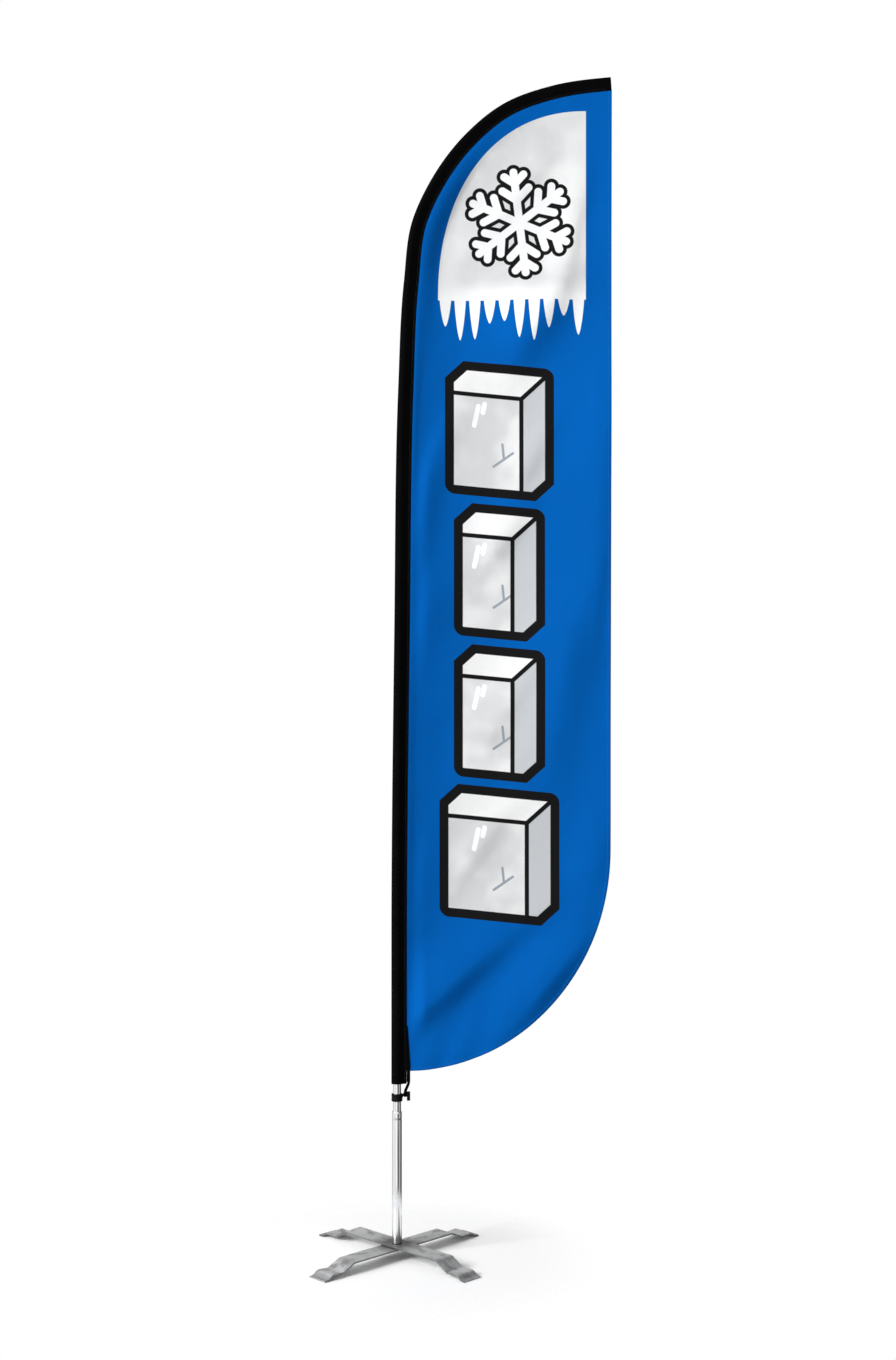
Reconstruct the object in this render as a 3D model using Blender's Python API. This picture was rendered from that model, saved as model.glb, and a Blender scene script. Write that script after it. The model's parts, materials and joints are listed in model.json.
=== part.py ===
"""A feather flag on a folding cross base.

The mast is five push-fit sections that stand on a ball-bearing rotor. The rotor turns on a
spindle, and the spindle clamps two crossed, bent flat bars, the lower of which folds beside
the upper one. The flag hangs from a pocket that is drawn over the mast, and a tension collar
with a hook pulls the pocket down by a loop of elastic cord.

Frame: metres, +Z up, the floor at Z = 0, the flag flying towards +X with its faces along -Y
and +Y. The origin is under the middle of the whole object's box. Pieces are drawn about the
mast's axis, which stands at X = AXIS_X, and hang from an empty that is there.
"""

import bisect
import math

import bmesh
import bpy
from mathutils import Vector

# ---------------------------------------------------------------- clearances
FIT_GAP = 0.0003  # between pieces that rest on, clamp or plug into each other
SLIP_GAP = 0.0008  # round the rotor, so that the mast drops on without jamming

# ---------------------------------------------------------------- cross base
HUB_TOP = 0.0445  # top face of the upper bar at the spindle
BAR_WIDTH = 0.080
BAR_THICKNESS = 0.005
TOE_RADIUS = 0.366  # spindle axis to the end of each toe
KNEE_RADIUS = 0.2325  # where the level arm turns down
TROUGH_RADIUS = 0.285  # where the slope meets the ankle
ANKLE_RADIUS = 0.331  # where the ankle turns down into the toe
TOE_PAD = 0.015  # length of toe that lies flat on the floor
TROUGH_LIFT = 0.0105  # floor to the bar's underside at the trough
ANKLE_LIFT = 0.0135  # floor to the bar's underside at the ankle
BAR_BEND_RADIUS = 0.020  # of the bar's middle surface at each bend
BAR_EDGE = 0.0008  # broken edge of the cut bar
BAR_YAW_DEG = 45.0  # each bar's angle from the flag's plane
PIVOT_WASHER = 0.001
PIVOT_WASHER_RADIUS = 0.019

# ---------------------------------------------------------------- spindle, rotor and bearings
SPINDLE_RADIUS = 0.006
SHOULDER_RADIUS = 0.0085
SHOULDER_HEIGHT = 0.005
NUT_ACROSS_FLATS = 0.019
NUT_HEIGHT = 0.010
NUT_WASHER = 0.0015
NUT_WASHER_RADIUS = 0.012
THREAD_PAST_NUT = 0.002
NUT_CHAMFER = 0.0012
SPINDLE_EDGE = 0.0008
SPINDLE_PAST_CLIP = 0.0022
ROTOR_LENGTH = 0.150
ROTOR_FLANGE = 0.0017
ROTOR_WALL = 0.0014  # at the bearing seats
ROTOR_RIB = 0.0038  # thickness left standing inwards between the seats
BEARING_WIDTH = 0.006
RACE_THICKNESS = 0.0015
BALL_COUNT = 7
CAGE_THICKNESS = 0.0012
CAGE_WIDTH = 0.0018
SPACER_WALL = 0.0012
CLIP_THICKNESS = 0.001
CLIP_RIM = 0.0025  # how far the clip stands out of the spindle
CLIP_GROOVE_DEPTH = 0.001
CLIP_MOUTH_DEG = 70.0
GRIP_RING_RADIUS = 0.0014  # of the rubber's round section
GRIP_RING_HEIGHTS = (0.026, 0.118)  # above the rotor's foot
CAP_FLANGE = 0.003
CAP_NOSE_HEIGHT = 0.018
CAP_NOSE_RADIUS = 0.004
CAP_PLUG_WALL = 0.002
CAP_PLUG_LENGTH = 0.006
CAP_CROWN = 0.0008  # rise of the nose's rounded top
CAP_DISH = 0.001  # dip of the cap's underside

# ---------------------------------------------------------------- mast
BASE_TUBE_DIAMETER = 0.034
BASE_TUBE_WALL = 0.0025
TUBE_WALL = 0.002  # of the two upper aluminium tubes
TUBE_EDGE = 0.0006  # broken edge of the base tube's ends
FIBRE_TUBE_WALL = 0.0025
BASE_JOINT = 0.503  # top of the base tube, above the floor
LOWER_JOINT = 1.620  # this and the next two are measured along the leading edge
MIDDLE_JOINT = 2.750
UPPER_JOINT = 3.420
PLUG_DEPTH = 0.120  # how far each section reaches into the one below
TIP_RADIUS = 0.003
TIP_CAP_WALL = 0.0012
TIP_CAP_LENGTH = 0.022
FERRULE_LENGTH = 0.030
FERRULE_WALL = 0.0009
FERRULE_SETBACK = 0.004  # from the end of the tube that it stops from splitting

# ---------------------------------------------------------------- flag
TOTAL_HEIGHT = 4.102  # floor to the top of the pocket's end
FLAG_REACH = 0.743  # mast axis to the pocket's end
POCKET_BOTTOM = 0.600
FLAG_BOTTOM = 0.644  # where the panel's lower edge meets the pocket
BEND_START = 1.100  # below this the mast is straight and upright
POCKET_WIDTH = 0.0535  # flat width of the pocket
POCKET_TIP_WIDTH = 0.047
POCKET_EASE = 0.0054  # slack between the mast and the pocket's fold
POCKET_SIDE_EASE = 0.0020  # slack between the mast and the pocket's two sides
POCKET_CLOTH = 0.0010
POCKET_SEAM = 0.008  # where both plies are sewn together
POCKET_END_CLOTH = 0.002
PANEL_THICKNESS = 0.0012
CORNER_RISE = 0.769  # height of the panel's rounded lower corner
FREE_EDGE_LEAN = 0.0045  # how much the free edge leans in towards its foot
LINER_WALL = 0.0012
LINER_LENGTH = 0.032
TAB_WIDTH = 0.0120
TAB_PLY = 0.0012
TAB_BOTTOM = 0.606
TAB_TOP = 0.800
TAB_TOP_WIDTH = 0.003

# Leading edge of the flag above BEND_START: share of the rise, share of the reach.
LEAD_SHAPE = (
    (0.0, 0.0),
    (0.358, 0.0131),
    (0.638, 0.0308),
    (0.764, 0.0572),
    (0.834, 0.0958),
    (0.876, 0.170),
    (0.932, 0.331),
    (0.969, 0.510),
    (0.990, 0.732),
    (1.0, 1.0),
)

# ---------------------------------------------------------------- tension collar and elastic
COLLAR_BOTTOM = 0.539
COLLAR_HEIGHT = 0.026
COLLAR_WALL = 0.0048
COLLAR_ROUNDING = 0.0018
HOOK_THROAT = 0.0116  # clear width between the hook's root and its horn, for the elastic
HOOK_THICKNESS = 0.008
HORN_WIDTH = 0.0115
BRIDGE_BOTTOM = 0.0175  # this and the next two are heights above the collar's foot
BRIDGE_TOP = 0.033
HORN_TIP = 0.0015
HOOK_ROUNDING = 0.003
ELASTIC_WIDTH = 0.0095  # of the flat elastic band
ELASTIC_THICKNESS = 0.0022
HOOK_HEEL = 0.004  # length of the hook's flat top towards the mast
HOOK_ROOT = 0.006  # run of the hook's underside from the collar to the bridge
ELASTIC_SLACK = 0.0005  # how far the elastic stands off the hook's sides
ELASTIC_DROP = 0.006  # straight fall of the elastic from the tab

# ---------------------------------------------------------------- mesh fineness
VISIBLE_SIDES = 40
TUBE_SIDES = 18
SMALL_SIDES = 18  # a multiple of six, because the nut's corners share them
ROD_SIDES = 10
POCKET_SIDES = 4  # points up each half of one side of the pocket's section; an even number
LEAD_SAMPLES = 24  # between two points of LEAD_SHAPE
STRAIGHT_STEP = 0.30
ARCH_STEP = 0.075

# ---------------------------------------------------------------- derived sizes
YAW_RADIANS = math.radians(BAR_YAW_DEG)
BASE_X_MIN = -(TOE_RADIUS * math.cos(YAW_RADIANS)
               + (BAR_WIDTH / 2 - BAR_EDGE) * math.sin(YAW_RADIANS))
AXIS_X = -(FLAG_REACH + BASE_X_MIN) / 2

LOWER_BAR_TOP = HUB_TOP - BAR_THICKNESS - PIVOT_WASHER - 2 * FIT_GAP
ROTOR_FOOT = HUB_TOP + FIT_GAP
MAST_BOTTOM = ROTOR_FOOT + ROTOR_FLANGE + FIT_GAP

BASE_TUBE_RADIUS = BASE_TUBE_DIAMETER / 2
BASE_TUBE_BORE = BASE_TUBE_RADIUS - BASE_TUBE_WALL
LOWER_TUBE_RADIUS = BASE_TUBE_BORE - FIT_GAP
LOWER_TUBE_BORE = LOWER_TUBE_RADIUS - TUBE_WALL
MIDDLE_TUBE_RADIUS = LOWER_TUBE_BORE - FIT_GAP
MIDDLE_TUBE_BORE = MIDDLE_TUBE_RADIUS - TUBE_WALL
FIBRE_TUBE_RADIUS = MIDDLE_TUBE_BORE - FIT_GAP
FIBRE_TUBE_BORE = FIBRE_TUBE_RADIUS - FIBRE_TUBE_WALL
ROD_RADIUS = FIBRE_TUBE_BORE - FIT_GAP
FERRULE_RADIUS = FIBRE_TUBE_RADIUS + FIT_GAP + FERRULE_WALL
TIP_CAP_RADIUS = TIP_RADIUS + FIT_GAP + TIP_CAP_WALL
LINER_RADIUS = TIP_CAP_RADIUS + FIT_GAP + LINER_WALL

ROTOR_RADIUS = BASE_TUBE_BORE - SLIP_GAP
BEARING_SEAT = ROTOR_RADIUS - ROTOR_WALL
BEARING_RADIUS = BEARING_SEAT - FIT_GAP
RACE_BORE = SPINDLE_RADIUS + FIT_GAP
INNER_RACE_RADIUS = RACE_BORE + RACE_THICKNESS
OUTER_RACE_BORE = BEARING_RADIUS - RACE_THICKNESS - FIT_GAP
BALL_CIRCLE = (INNER_RACE_RADIUS + OUTER_RACE_BORE) / 2
TRACK_RADIUS = (OUTER_RACE_BORE - INNER_RACE_RADIUS) / 2 + RACE_THICKNESS * 0.4
BALL_RADIUS = TRACK_RADIUS - FIT_GAP
ROTOR_RIB_BORE = BEARING_SEAT - ROTOR_RIB
GROOVE_RADIUS = BASE_TUBE_BORE - 2 * FIT_GAP - 2 * GRIP_RING_RADIUS
LOWER_BEARING_Z = HUB_TOP + FIT_GAP + SHOULDER_HEIGHT + FIT_GAP + BEARING_WIDTH / 2
ROTOR_TOP = ROTOR_FOOT + ROTOR_LENGTH
CAP_PLUG_BOTTOM = ROTOR_TOP - CAP_PLUG_LENGTH
UPPER_BEARING_Z = CAP_PLUG_BOTTOM - FIT_GAP - BEARING_WIDTH / 2
LEAD_X = -(LOWER_TUBE_RADIUS + POCKET_EASE)


# ---------------------------------------------------------------- scene helpers
def clear_scene():
    """Remove every object that is in the scene."""
    for item in list(bpy.data.objects):
        bpy.data.objects.remove(item, do_unlink=True)


def finish_material(name, colour, roughness, metallic):
    """A Principled material, made once and then shared."""
    found = bpy.data.materials.get(name)
    if found:
        return found
    material = bpy.data.materials.new(name)
    material.use_nodes = True
    shader = material.node_tree.nodes["Principled BSDF"]
    shader.inputs["Base Color"].default_value = (*colour, 1.0)
    shader.inputs["Roughness"].default_value = roughness
    shader.inputs["Metallic"].default_value = metallic
    return material


def bar_steel():
    return finish_material("bar_steel", (0.52, 0.52, 0.53), 0.42, 1.0)


def bright_steel():
    return finish_material("bright_steel", (0.62, 0.62, 0.63), 0.25, 1.0)


def polished_aluminium():
    return finish_material("polished_aluminium", (0.86, 0.87, 0.88), 0.18, 1.0)


def fibreglass():
    return finish_material("fibreglass", (0.06, 0.06, 0.065), 0.4, 0.0)


def black_nylon():
    return finish_material("black_nylon", (0.012, 0.012, 0.013), 0.45, 0.0)


def white_nylon():
    return finish_material("white_nylon", (0.78, 0.77, 0.73), 0.5, 0.0)


def black_rubber():
    return finish_material("black_rubber", (0.015, 0.015, 0.015), 0.7, 0.0)


def black_cloth():
    return finish_material("black_cloth", (0.006, 0.006, 0.007), 0.85, 0.0)


def blue_cloth():
    return finish_material("blue_cloth", (0.0, 0.115, 0.48), 0.75, 0.0)


def new_empty(name, location):
    """An empty that marks an axis and carries the pieces drawn about it."""
    empty = bpy.data.objects.new(name, None)
    empty.location = location
    bpy.context.scene.collection.objects.link(empty)
    return empty


def new_object(name, shape, material, parent, location=(0.0, 0.0, 0.0), yaw=0.0):
    """Turn a bmesh into a named object under a parent empty, with round faces shaded smooth."""
    bmesh.ops.recalc_face_normals(shape, faces=shape.faces)
    mesh = bpy.data.meshes.new(name)
    shape.to_mesh(mesh)
    shape.free()
    mesh.shade_smooth()
    mesh.set_sharp_from_angle(angle=math.radians(35.0))
    mesh.materials.append(material)
    item = bpy.data.objects.new(name, mesh)
    bpy.context.scene.collection.objects.link(item)
    item.parent = parent
    item.location = location
    item.rotation_euler = (0.0, 0.0, yaw)
    return item


def hide_helper(item):
    """Mark an object as a cutter or an addition, which isn't a piece of its own."""
    item.hide_render = True
    item.display_type = "WIRE"


def add_boolean(item, other, operation):
    """Cut another closed shape out of an object, or join it on."""
    step = item.modifiers.new("Boolean", "BOOLEAN")
    step.operation = operation
    step.solver = "EXACT"
    step.object = other


def add_bevel(item, width, segments):
    """Break an object's sharp edges."""
    step = item.modifiers.new("Bevel", "BEVEL")
    step.width = width
    step.segments = segments
    step.limit_method = "ANGLE"
    step.angle_limit = math.radians(50.0)
    step.harden_normals = False


# ---------------------------------------------------------------- shape helpers
def turned(profile, sides):
    """Spin a closed profile of (radius, height) points round Z, merging any on the axis."""
    shape = bmesh.new()
    points = [shape.verts.new((radius, 0.0, height)) for radius, height in profile]
    edges = [shape.edges.new((points[i - 1], points[i])) for i in range(len(points))]
    bmesh.ops.spin(
        shape, geom=points + edges, cent=(0, 0, 0), axis=(0, 0, 1),
        angle=math.tau, steps=sides, use_merge=True, use_duplicate=False,
    )
    bmesh.ops.remove_doubles(shape, verts=shape.verts, dist=1e-6)
    on_axis = [edge for edge in shape.edges if not edge.link_faces]
    bmesh.ops.delete(shape, geom=on_axis, context="EDGES")
    return shape


def lofted(rings, wrap=False):
    """Skin a row of rings that have equally many points, closed into a loop or capped."""
    shape = bmesh.new()
    rows = [[shape.verts.new(point) for point in ring] for ring in rings]
    count = len(rows[0])
    pairs = list(zip(rows, rows[1:]))
    if wrap:
        pairs.append((rows[-1], rows[0]))
    for near, far in pairs:
        for i in range(count):
            shape.faces.new((near[i - 1], near[i], far[i], far[i - 1]))
    if not wrap:
        shape.faces.new(rows[0])
        shape.faces.new(rows[-1])
    return shape


def extruded(outline, depth, place):
    """Extrude a closed outline of (a, b) points; place(a, b, c) says where c = 0 and depth are."""
    shape = bmesh.new()
    face = shape.faces.new([shape.verts.new(place(a, b, 0.0)) for a, b in outline])
    grown = bmesh.ops.extrude_face_region(shape, geom=[face])
    shift = Vector(place(0.0, 0.0, depth)) - Vector(place(0.0, 0.0, 0.0))
    moved = [part for part in grown["geom"] if isinstance(part, bmesh.types.BMVert)]
    bmesh.ops.translate(shape, verts=moved, vec=shift)
    return shape


def upright_circle(radius, height, sides):
    """A level ring of points round the Z axis."""
    turn = math.tau / sides
    return [(radius * math.cos(i * turn), radius * math.sin(i * turn), height) for i in range(sides)]


def tube(inner, outer, bottom, top, sides):
    """An upright tube round the Z axis."""
    return turned([(inner, bottom), (outer, bottom), (outer, top), (inner, top)], sides)


def rounded_corners(points, radius, steps):
    """Replace each inner corner of a polyline by an arc of the given radius."""
    result = []
    last = len(points) - 1
    for i, corner in enumerate(points):
        corner = Vector(corner)
        if i in (0, last):
            result.append(corner)
            continue
        before = (Vector(points[i - 1]) - corner).normalized()
        after = (Vector(points[i + 1]) - corner).normalized()
        half_angle = before.angle(after) / 2
        reach = radius / math.tan(half_angle)
        start = corner + before * reach
        end = corner + after * reach
        centre = corner + (before + after).normalized() * (radius / math.sin(half_angle))
        first_arm = start - centre
        last_arm = end - centre
        sweep = first_arm.angle(last_arm)
        for k in range(steps + 1):
            share = k / steps
            arm = (first_arm * math.sin((1 - share) * sweep) + last_arm * math.sin(share * sweep))
            result.append(centre + arm / math.sin(sweep))
    return result


def offset_line(points, distance):
    """Move an open line of 2-D points sideways, keeping its corners mitred."""
    result = []
    for i, point in enumerate(points):
        arms = []
        if i > 0:
            arms.append((point - points[i - 1]).normalized())
        if i < len(points) - 1:
            arms.append((points[i + 1] - point).normalized())
        along = sum(arms, Vector((0.0, 0.0))).normalized()
        side = Vector((-along.y, along.x))
        result.append(point + side * (distance / max(along.dot(arms[0]), 0.1)))
    return result


# ---------------------------------------------------------------- leading edge and mast line
def lead_curve():
    """Points along the flag's leading edge, from the floor to the pocket's end, in X and Z."""
    rise = TOTAL_HEIGHT - BEND_START
    reach = FLAG_REACH - LEAD_X
    knots = [Vector((LEAD_X + across * reach, BEND_START + up * rise)) for up, across in LEAD_SHAPE]
    spans = [(b - a).length for a, b in zip(knots, knots[1:])]
    slopes = [(b - a) / span for a, b, span in zip(knots, knots[1:], spans)]
    tangents = [Vector((0.0, 1.0))]
    for i in range(1, len(knots) - 1):
        near, far = spans[i - 1], spans[i]
        tangents.append((slopes[i - 1] * far + slopes[i] * near) / (near + far))
    tangents.append((slopes[-1] * 1.5 - tangents[-1] * 0.5))
    line = [Vector((LEAD_X, 0.0))]
    for i, span in enumerate(spans):
        for k in range(LEAD_SAMPLES):
            t = k / LEAD_SAMPLES
            keep = 2 * t ** 3 - 3 * t ** 2 + 1
            leave = t ** 3 - 2 * t ** 2 + t
            arrive = t ** 3 - t ** 2
            line.append(knots[i] * keep + tangents[i] * (span * leave)
                        + knots[i + 1] * (1 - keep) + tangents[i + 1] * (span * arrive))
    line.append(knots[-1])
    return line


LEAD_LINE = lead_curve()
LEAD_LENGTHS = [0.0]
for start_point, end_point in zip(LEAD_LINE, LEAD_LINE[1:]):
    LEAD_LENGTHS.append(LEAD_LENGTHS[-1] + (end_point - start_point).length)
LEAD_END = LEAD_LENGTHS[-1]
POLE_END = LEAD_END - POCKET_END_CLOTH - FIT_GAP - LINER_WALL - FIT_GAP  # face of the tip cap


def lead_direction(index):
    """Unit direction of the leading edge at one of its points."""
    low = max(index - 1, 0)
    high = min(index + 1, len(LEAD_LINE) - 1)
    return (LEAD_LINE[high] - LEAD_LINE[low]).normalized()


def smooth_lead_at(length):
    """Point and inward unit normal of the leading edge, at a length measured from the floor."""
    index = min(max(bisect.bisect_right(LEAD_LENGTHS, length) - 1, 0), len(LEAD_LINE) - 2)
    span = LEAD_LENGTHS[index + 1] - LEAD_LENGTHS[index]
    share = (length - LEAD_LENGTHS[index]) / span
    point = LEAD_LINE[index].lerp(LEAD_LINE[index + 1], share)
    along = lead_direction(index).lerp(lead_direction(index + 1), share).normalized()
    return point, Vector((along.y, -along.x))


def room_radius(length):
    """Radius that the pocket leaves for the mast, which falls from joint to joint."""
    marks = (
        (LOWER_JOINT, LOWER_TUBE_RADIUS),
        (MIDDLE_JOINT, MIDDLE_TUBE_RADIUS),
        (UPPER_JOINT, FERRULE_RADIUS),
        (LEAD_END, LINER_RADIUS),
    )
    if length <= marks[0][0]:
        return marks[0][1]
    for (near, wide), (far, narrow) in zip(marks, marks[1:]):
        if length <= far:
            return wide + (narrow - wide) * (length - near) / (far - near)
    return marks[-1][1]


def shared_marks():
    """Lengths where every long piece has a section: each joint, and close together in the arch."""
    marks = []
    stops = (0.0, BASE_JOINT, BEND_START, LOWER_JOINT, MIDDLE_JOINT, UPPER_JOINT, LEAD_END)
    for near, far in zip(stops, stops[1:]):
        step = STRAIGHT_STEP if far <= MIDDLE_JOINT else ARCH_STEP
        parts = max(round((far - near) / step), 1)
        marks += [near + (far - near) * i / parts for i in range(parts)]
    return marks + [LEAD_END]


MARKS = shared_marks()


def lead_at(length):
    """The leading edge as straight chords between the shared marks, so that nested pieces agree."""
    index = min(max(bisect.bisect_right(MARKS, length) - 1, 0), len(MARKS) - 2)
    share = (length - MARKS[index]) / (MARKS[index + 1] - MARKS[index])
    near_point, near_normal = smooth_lead_at(MARKS[index])
    far_point, far_normal = smooth_lead_at(MARKS[index + 1])
    return near_point.lerp(far_point, share), near_normal.lerp(far_normal, share)


def mast_at(length):
    """Centre of the mast and the inward normal, at a length along the leading edge."""
    point, normal = lead_at(length)
    return point + normal * (POCKET_EASE + room_radius(length)), normal


def stations(start, end):
    """Lengths from start to end, by way of the shared marks between them."""
    inside = [mark for mark in MARKS if start + FIT_GAP < mark < end - FIT_GAP]
    return [start] + inside + [end]


def mast_ring(length, radius, sides):
    """A ring of points round the mast, square to the leading edge."""
    centre, normal = mast_at(length)
    ring = []
    for i in range(sides):
        angle = i * math.tau / sides
        across = centre + normal * (radius * math.cos(angle))
        ring.append((across.x, radius * math.sin(angle), across.y))
    return ring


def mast_tube(start, end, bore, radius, sides):
    """A hollow section that follows the mast's line."""
    marks = stations(start, end)
    rings = [mast_ring(mark, radius, sides) for mark in marks]
    rings += [mast_ring(mark, bore, sides) for mark in reversed(marks)]
    return lofted(rings, wrap=True)


# ---------------------------------------------------------------- cross base
def bar_outline(hub_top):
    """Side view of a whole bar, from toe to toe, as a closed outline of X and Z."""
    half = BAR_THICKNESS / 2
    arm = [
        (KNEE_RADIUS, hub_top - half),
        (TROUGH_RADIUS, TROUGH_LIFT + half),
        (ANKLE_RADIUS, ANKLE_LIFT + half),
        (TOE_RADIUS - TOE_PAD, half),
        (TOE_RADIUS, half),
    ]
    middle = [(-x, z) for x, z in reversed(arm)] + arm
    line = rounded_corners(middle, BAR_BEND_RADIUS, 3)
    return offset_line(line, half) + list(reversed(offset_line(line, -half)))


def make_bar(name, hub_top, yaw, parent, hole):
    """A bent flat bar with a hole for the spindle."""
    shape = extruded(
        [tuple(point) for point in bar_outline(hub_top)],
        BAR_WIDTH,
        lambda a, b, c: (a, c - BAR_WIDTH / 2, b),
    )
    bar = new_object(name, shape, bar_steel(), parent, yaw=yaw)
    add_boolean(bar, hole, "DIFFERENCE")
    add_bevel(bar, BAR_EDGE, 1)
    return bar


def make_cross_base(axis):
    """Both bars and the spindle's clamping hardware."""
    hole_shape = turned(
        [(0.0, 0.0), (SPINDLE_RADIUS + FIT_GAP, 0.0), (SPINDLE_RADIUS + FIT_GAP, HUB_TOP + 0.02),
         (0.0, HUB_TOP + 0.02)],
        SMALL_SIDES,
    )
    hole = new_object("spindle_hole_cutter", hole_shape, bar_steel(), axis)
    hide_helper(hole)
    yaw = math.radians(BAR_YAW_DEG)
    make_bar("upper_leg_bar", HUB_TOP, -yaw, axis, hole)
    make_bar("lower_leg_bar", LOWER_BAR_TOP, yaw, axis, hole)

    washer_bottom = LOWER_BAR_TOP + FIT_GAP
    washer = tube(SPINDLE_RADIUS + FIT_GAP, PIVOT_WASHER_RADIUS, washer_bottom,
                  washer_bottom + PIVOT_WASHER, SMALL_SIDES)
    new_object("pivot_washer", washer, white_nylon(), axis)

    washer_top = LOWER_BAR_TOP - BAR_THICKNESS - FIT_GAP
    lower_washer = tube(SPINDLE_RADIUS + FIT_GAP, NUT_WASHER_RADIUS, washer_top - NUT_WASHER,
                        washer_top, SMALL_SIDES)
    new_object("nut_washer", lower_washer, bright_steel(), axis)
    make_nut(axis, washer_top - NUT_WASHER - FIT_GAP)
    make_spindle(axis, washer_top - NUT_WASHER - FIT_GAP - NUT_HEIGHT - THREAD_PAST_NUT)


def hexagon_ring(across_flats, height):
    """SMALL_SIDES points on a hexagon, one of them on each corner, at the angles of a circle's."""
    ring = []
    for i in range(SMALL_SIDES):
        angle = i * math.tau / SMALL_SIDES
        off_flat = (angle + math.pi / 6) % (math.pi / 3) - math.pi / 6
        radius = across_flats / 2 / math.cos(math.pi / 6 - abs(off_flat))
        ring.append((radius * math.cos(angle), radius * math.sin(angle), height))
    return ring


def make_nut(axis, top):
    """The hexagon nut that clamps both bars."""
    bottom = top - NUT_HEIGHT
    bore = SPINDLE_RADIUS + FIT_GAP
    rings = [
        upright_circle(NUT_ACROSS_FLATS / 2 - NUT_CHAMFER / 3, bottom, SMALL_SIDES),
        hexagon_ring(NUT_ACROSS_FLATS, bottom + NUT_CHAMFER),
        hexagon_ring(NUT_ACROSS_FLATS, top),
        upright_circle(bore, top, SMALL_SIDES),
        upright_circle(bore, bottom, SMALL_SIDES),
    ]
    new_object("spindle_nut", lofted(rings, wrap=True), bright_steel(), axis)


def make_spindle(axis, bottom):
    """The shouldered shaft that stands up through both bars into the mast."""
    seat = HUB_TOP + FIT_GAP
    groove_bottom = UPPER_BEARING_Z + BEARING_WIDTH / 2
    groove_top = groove_bottom + CLIP_THICKNESS + 2 * FIT_GAP
    top = groove_top + SPINDLE_PAST_CLIP
    core = SPINDLE_RADIUS - CLIP_GROOVE_DEPTH
    profile = [
        (0.0, bottom),
        (SPINDLE_RADIUS - SPINDLE_EDGE, bottom),
        (SPINDLE_RADIUS, bottom + SPINDLE_EDGE),
        (SPINDLE_RADIUS, seat),
        (SHOULDER_RADIUS, seat),
        (SHOULDER_RADIUS, seat + SHOULDER_HEIGHT),
        (SPINDLE_RADIUS, seat + SHOULDER_HEIGHT),
        (SPINDLE_RADIUS, groove_bottom),
        (core, groove_bottom),
        (core, groove_top),
        (SPINDLE_RADIUS, groove_top),
        (SPINDLE_RADIUS, top - SPINDLE_EDGE),
        (SPINDLE_RADIUS - SPINDLE_EDGE, top),
        (0.0, top),
    ]
    new_object("spindle_shaft", turned(profile, SMALL_SIDES), bright_steel(), axis)
    make_clip(axis, groove_bottom + FIT_GAP, core + FIT_GAP)


def make_clip(axis, bottom, bore):
    """The open ring that sits in the spindle's groove above the upper bearing."""
    mouth = math.radians(CLIP_MOUTH_DEG)
    steps = 16
    angles = [mouth / 2 + (math.tau - mouth) * i / steps for i in range(steps + 1)]
    rim = SPINDLE_RADIUS + CLIP_RIM
    outline = [(rim * math.cos(angle), rim * math.sin(angle)) for angle in angles]
    outline += [(bore * math.cos(angle), bore * math.sin(angle)) for angle in reversed(angles)]
    shape = extruded(outline, CLIP_THICKNESS, lambda a, b, c: (a, b, bottom + c))
    new_object("retaining_clip", shape, bright_steel(), axis)


# ---------------------------------------------------------------- bearings and rotor
def track_arc(side):
    """Points of a ball track's section, on its inner (-1) or outer (+1) race."""
    edge = INNER_RACE_RADIUS if side < 0 else OUTER_RACE_BORE
    half_angle = math.acos(abs(edge - BALL_CIRCLE) / TRACK_RADIUS)
    steps = 4
    points = []
    for i in range(steps + 1):
        angle = half_angle * (2 * i / steps - 1)
        points.append((BALL_CIRCLE + side * TRACK_RADIUS * math.cos(angle),
                       TRACK_RADIUS * math.sin(angle)))
    return points


def make_bearing(place, height, axis):
    """Inner race, outer race, and a cage with its balls."""
    half = BEARING_WIDTH / 2
    inner = [(RACE_BORE, -half), (INNER_RACE_RADIUS, -half)] + track_arc(-1)
    inner += [(INNER_RACE_RADIUS, half), (RACE_BORE, half)]
    outer = [(BEARING_RADIUS, half), (OUTER_RACE_BORE, half)] + list(reversed(track_arc(1)))
    outer += [(OUTER_RACE_BORE, -half), (BEARING_RADIUS, -half)]
    spot = (0.0, 0.0, height)
    new_object(place + "_inner_race", turned(inner, SMALL_SIDES), bright_steel(), axis, spot)
    new_object(place + "_outer_race", turned(outer, SMALL_SIDES), bright_steel(), axis, spot)

    balls = bmesh.new()
    for i in range(BALL_COUNT):
        angle = i * math.tau / BALL_COUNT
        centre = Vector((BALL_CIRCLE * math.cos(angle), BALL_CIRCLE * math.sin(angle), 0.0))
        made = bmesh.ops.create_icosphere(balls, subdivisions=2, radius=BALL_RADIUS)
        bmesh.ops.translate(balls, verts=made["verts"], vec=centre)
    ball_set = new_object(place + "_ball_set", balls, bright_steel(), axis, spot)
    hide_helper(ball_set)
    ring = tube(BALL_CIRCLE - CAGE_THICKNESS / 2, BALL_CIRCLE + CAGE_THICKNESS / 2,
                -CAGE_WIDTH / 2, CAGE_WIDTH / 2, SMALL_SIDES)
    cage = new_object(place + "_ball_cage", ring, bright_steel(), axis, spot)
    add_boolean(cage, ball_set, "UNION")


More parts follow.
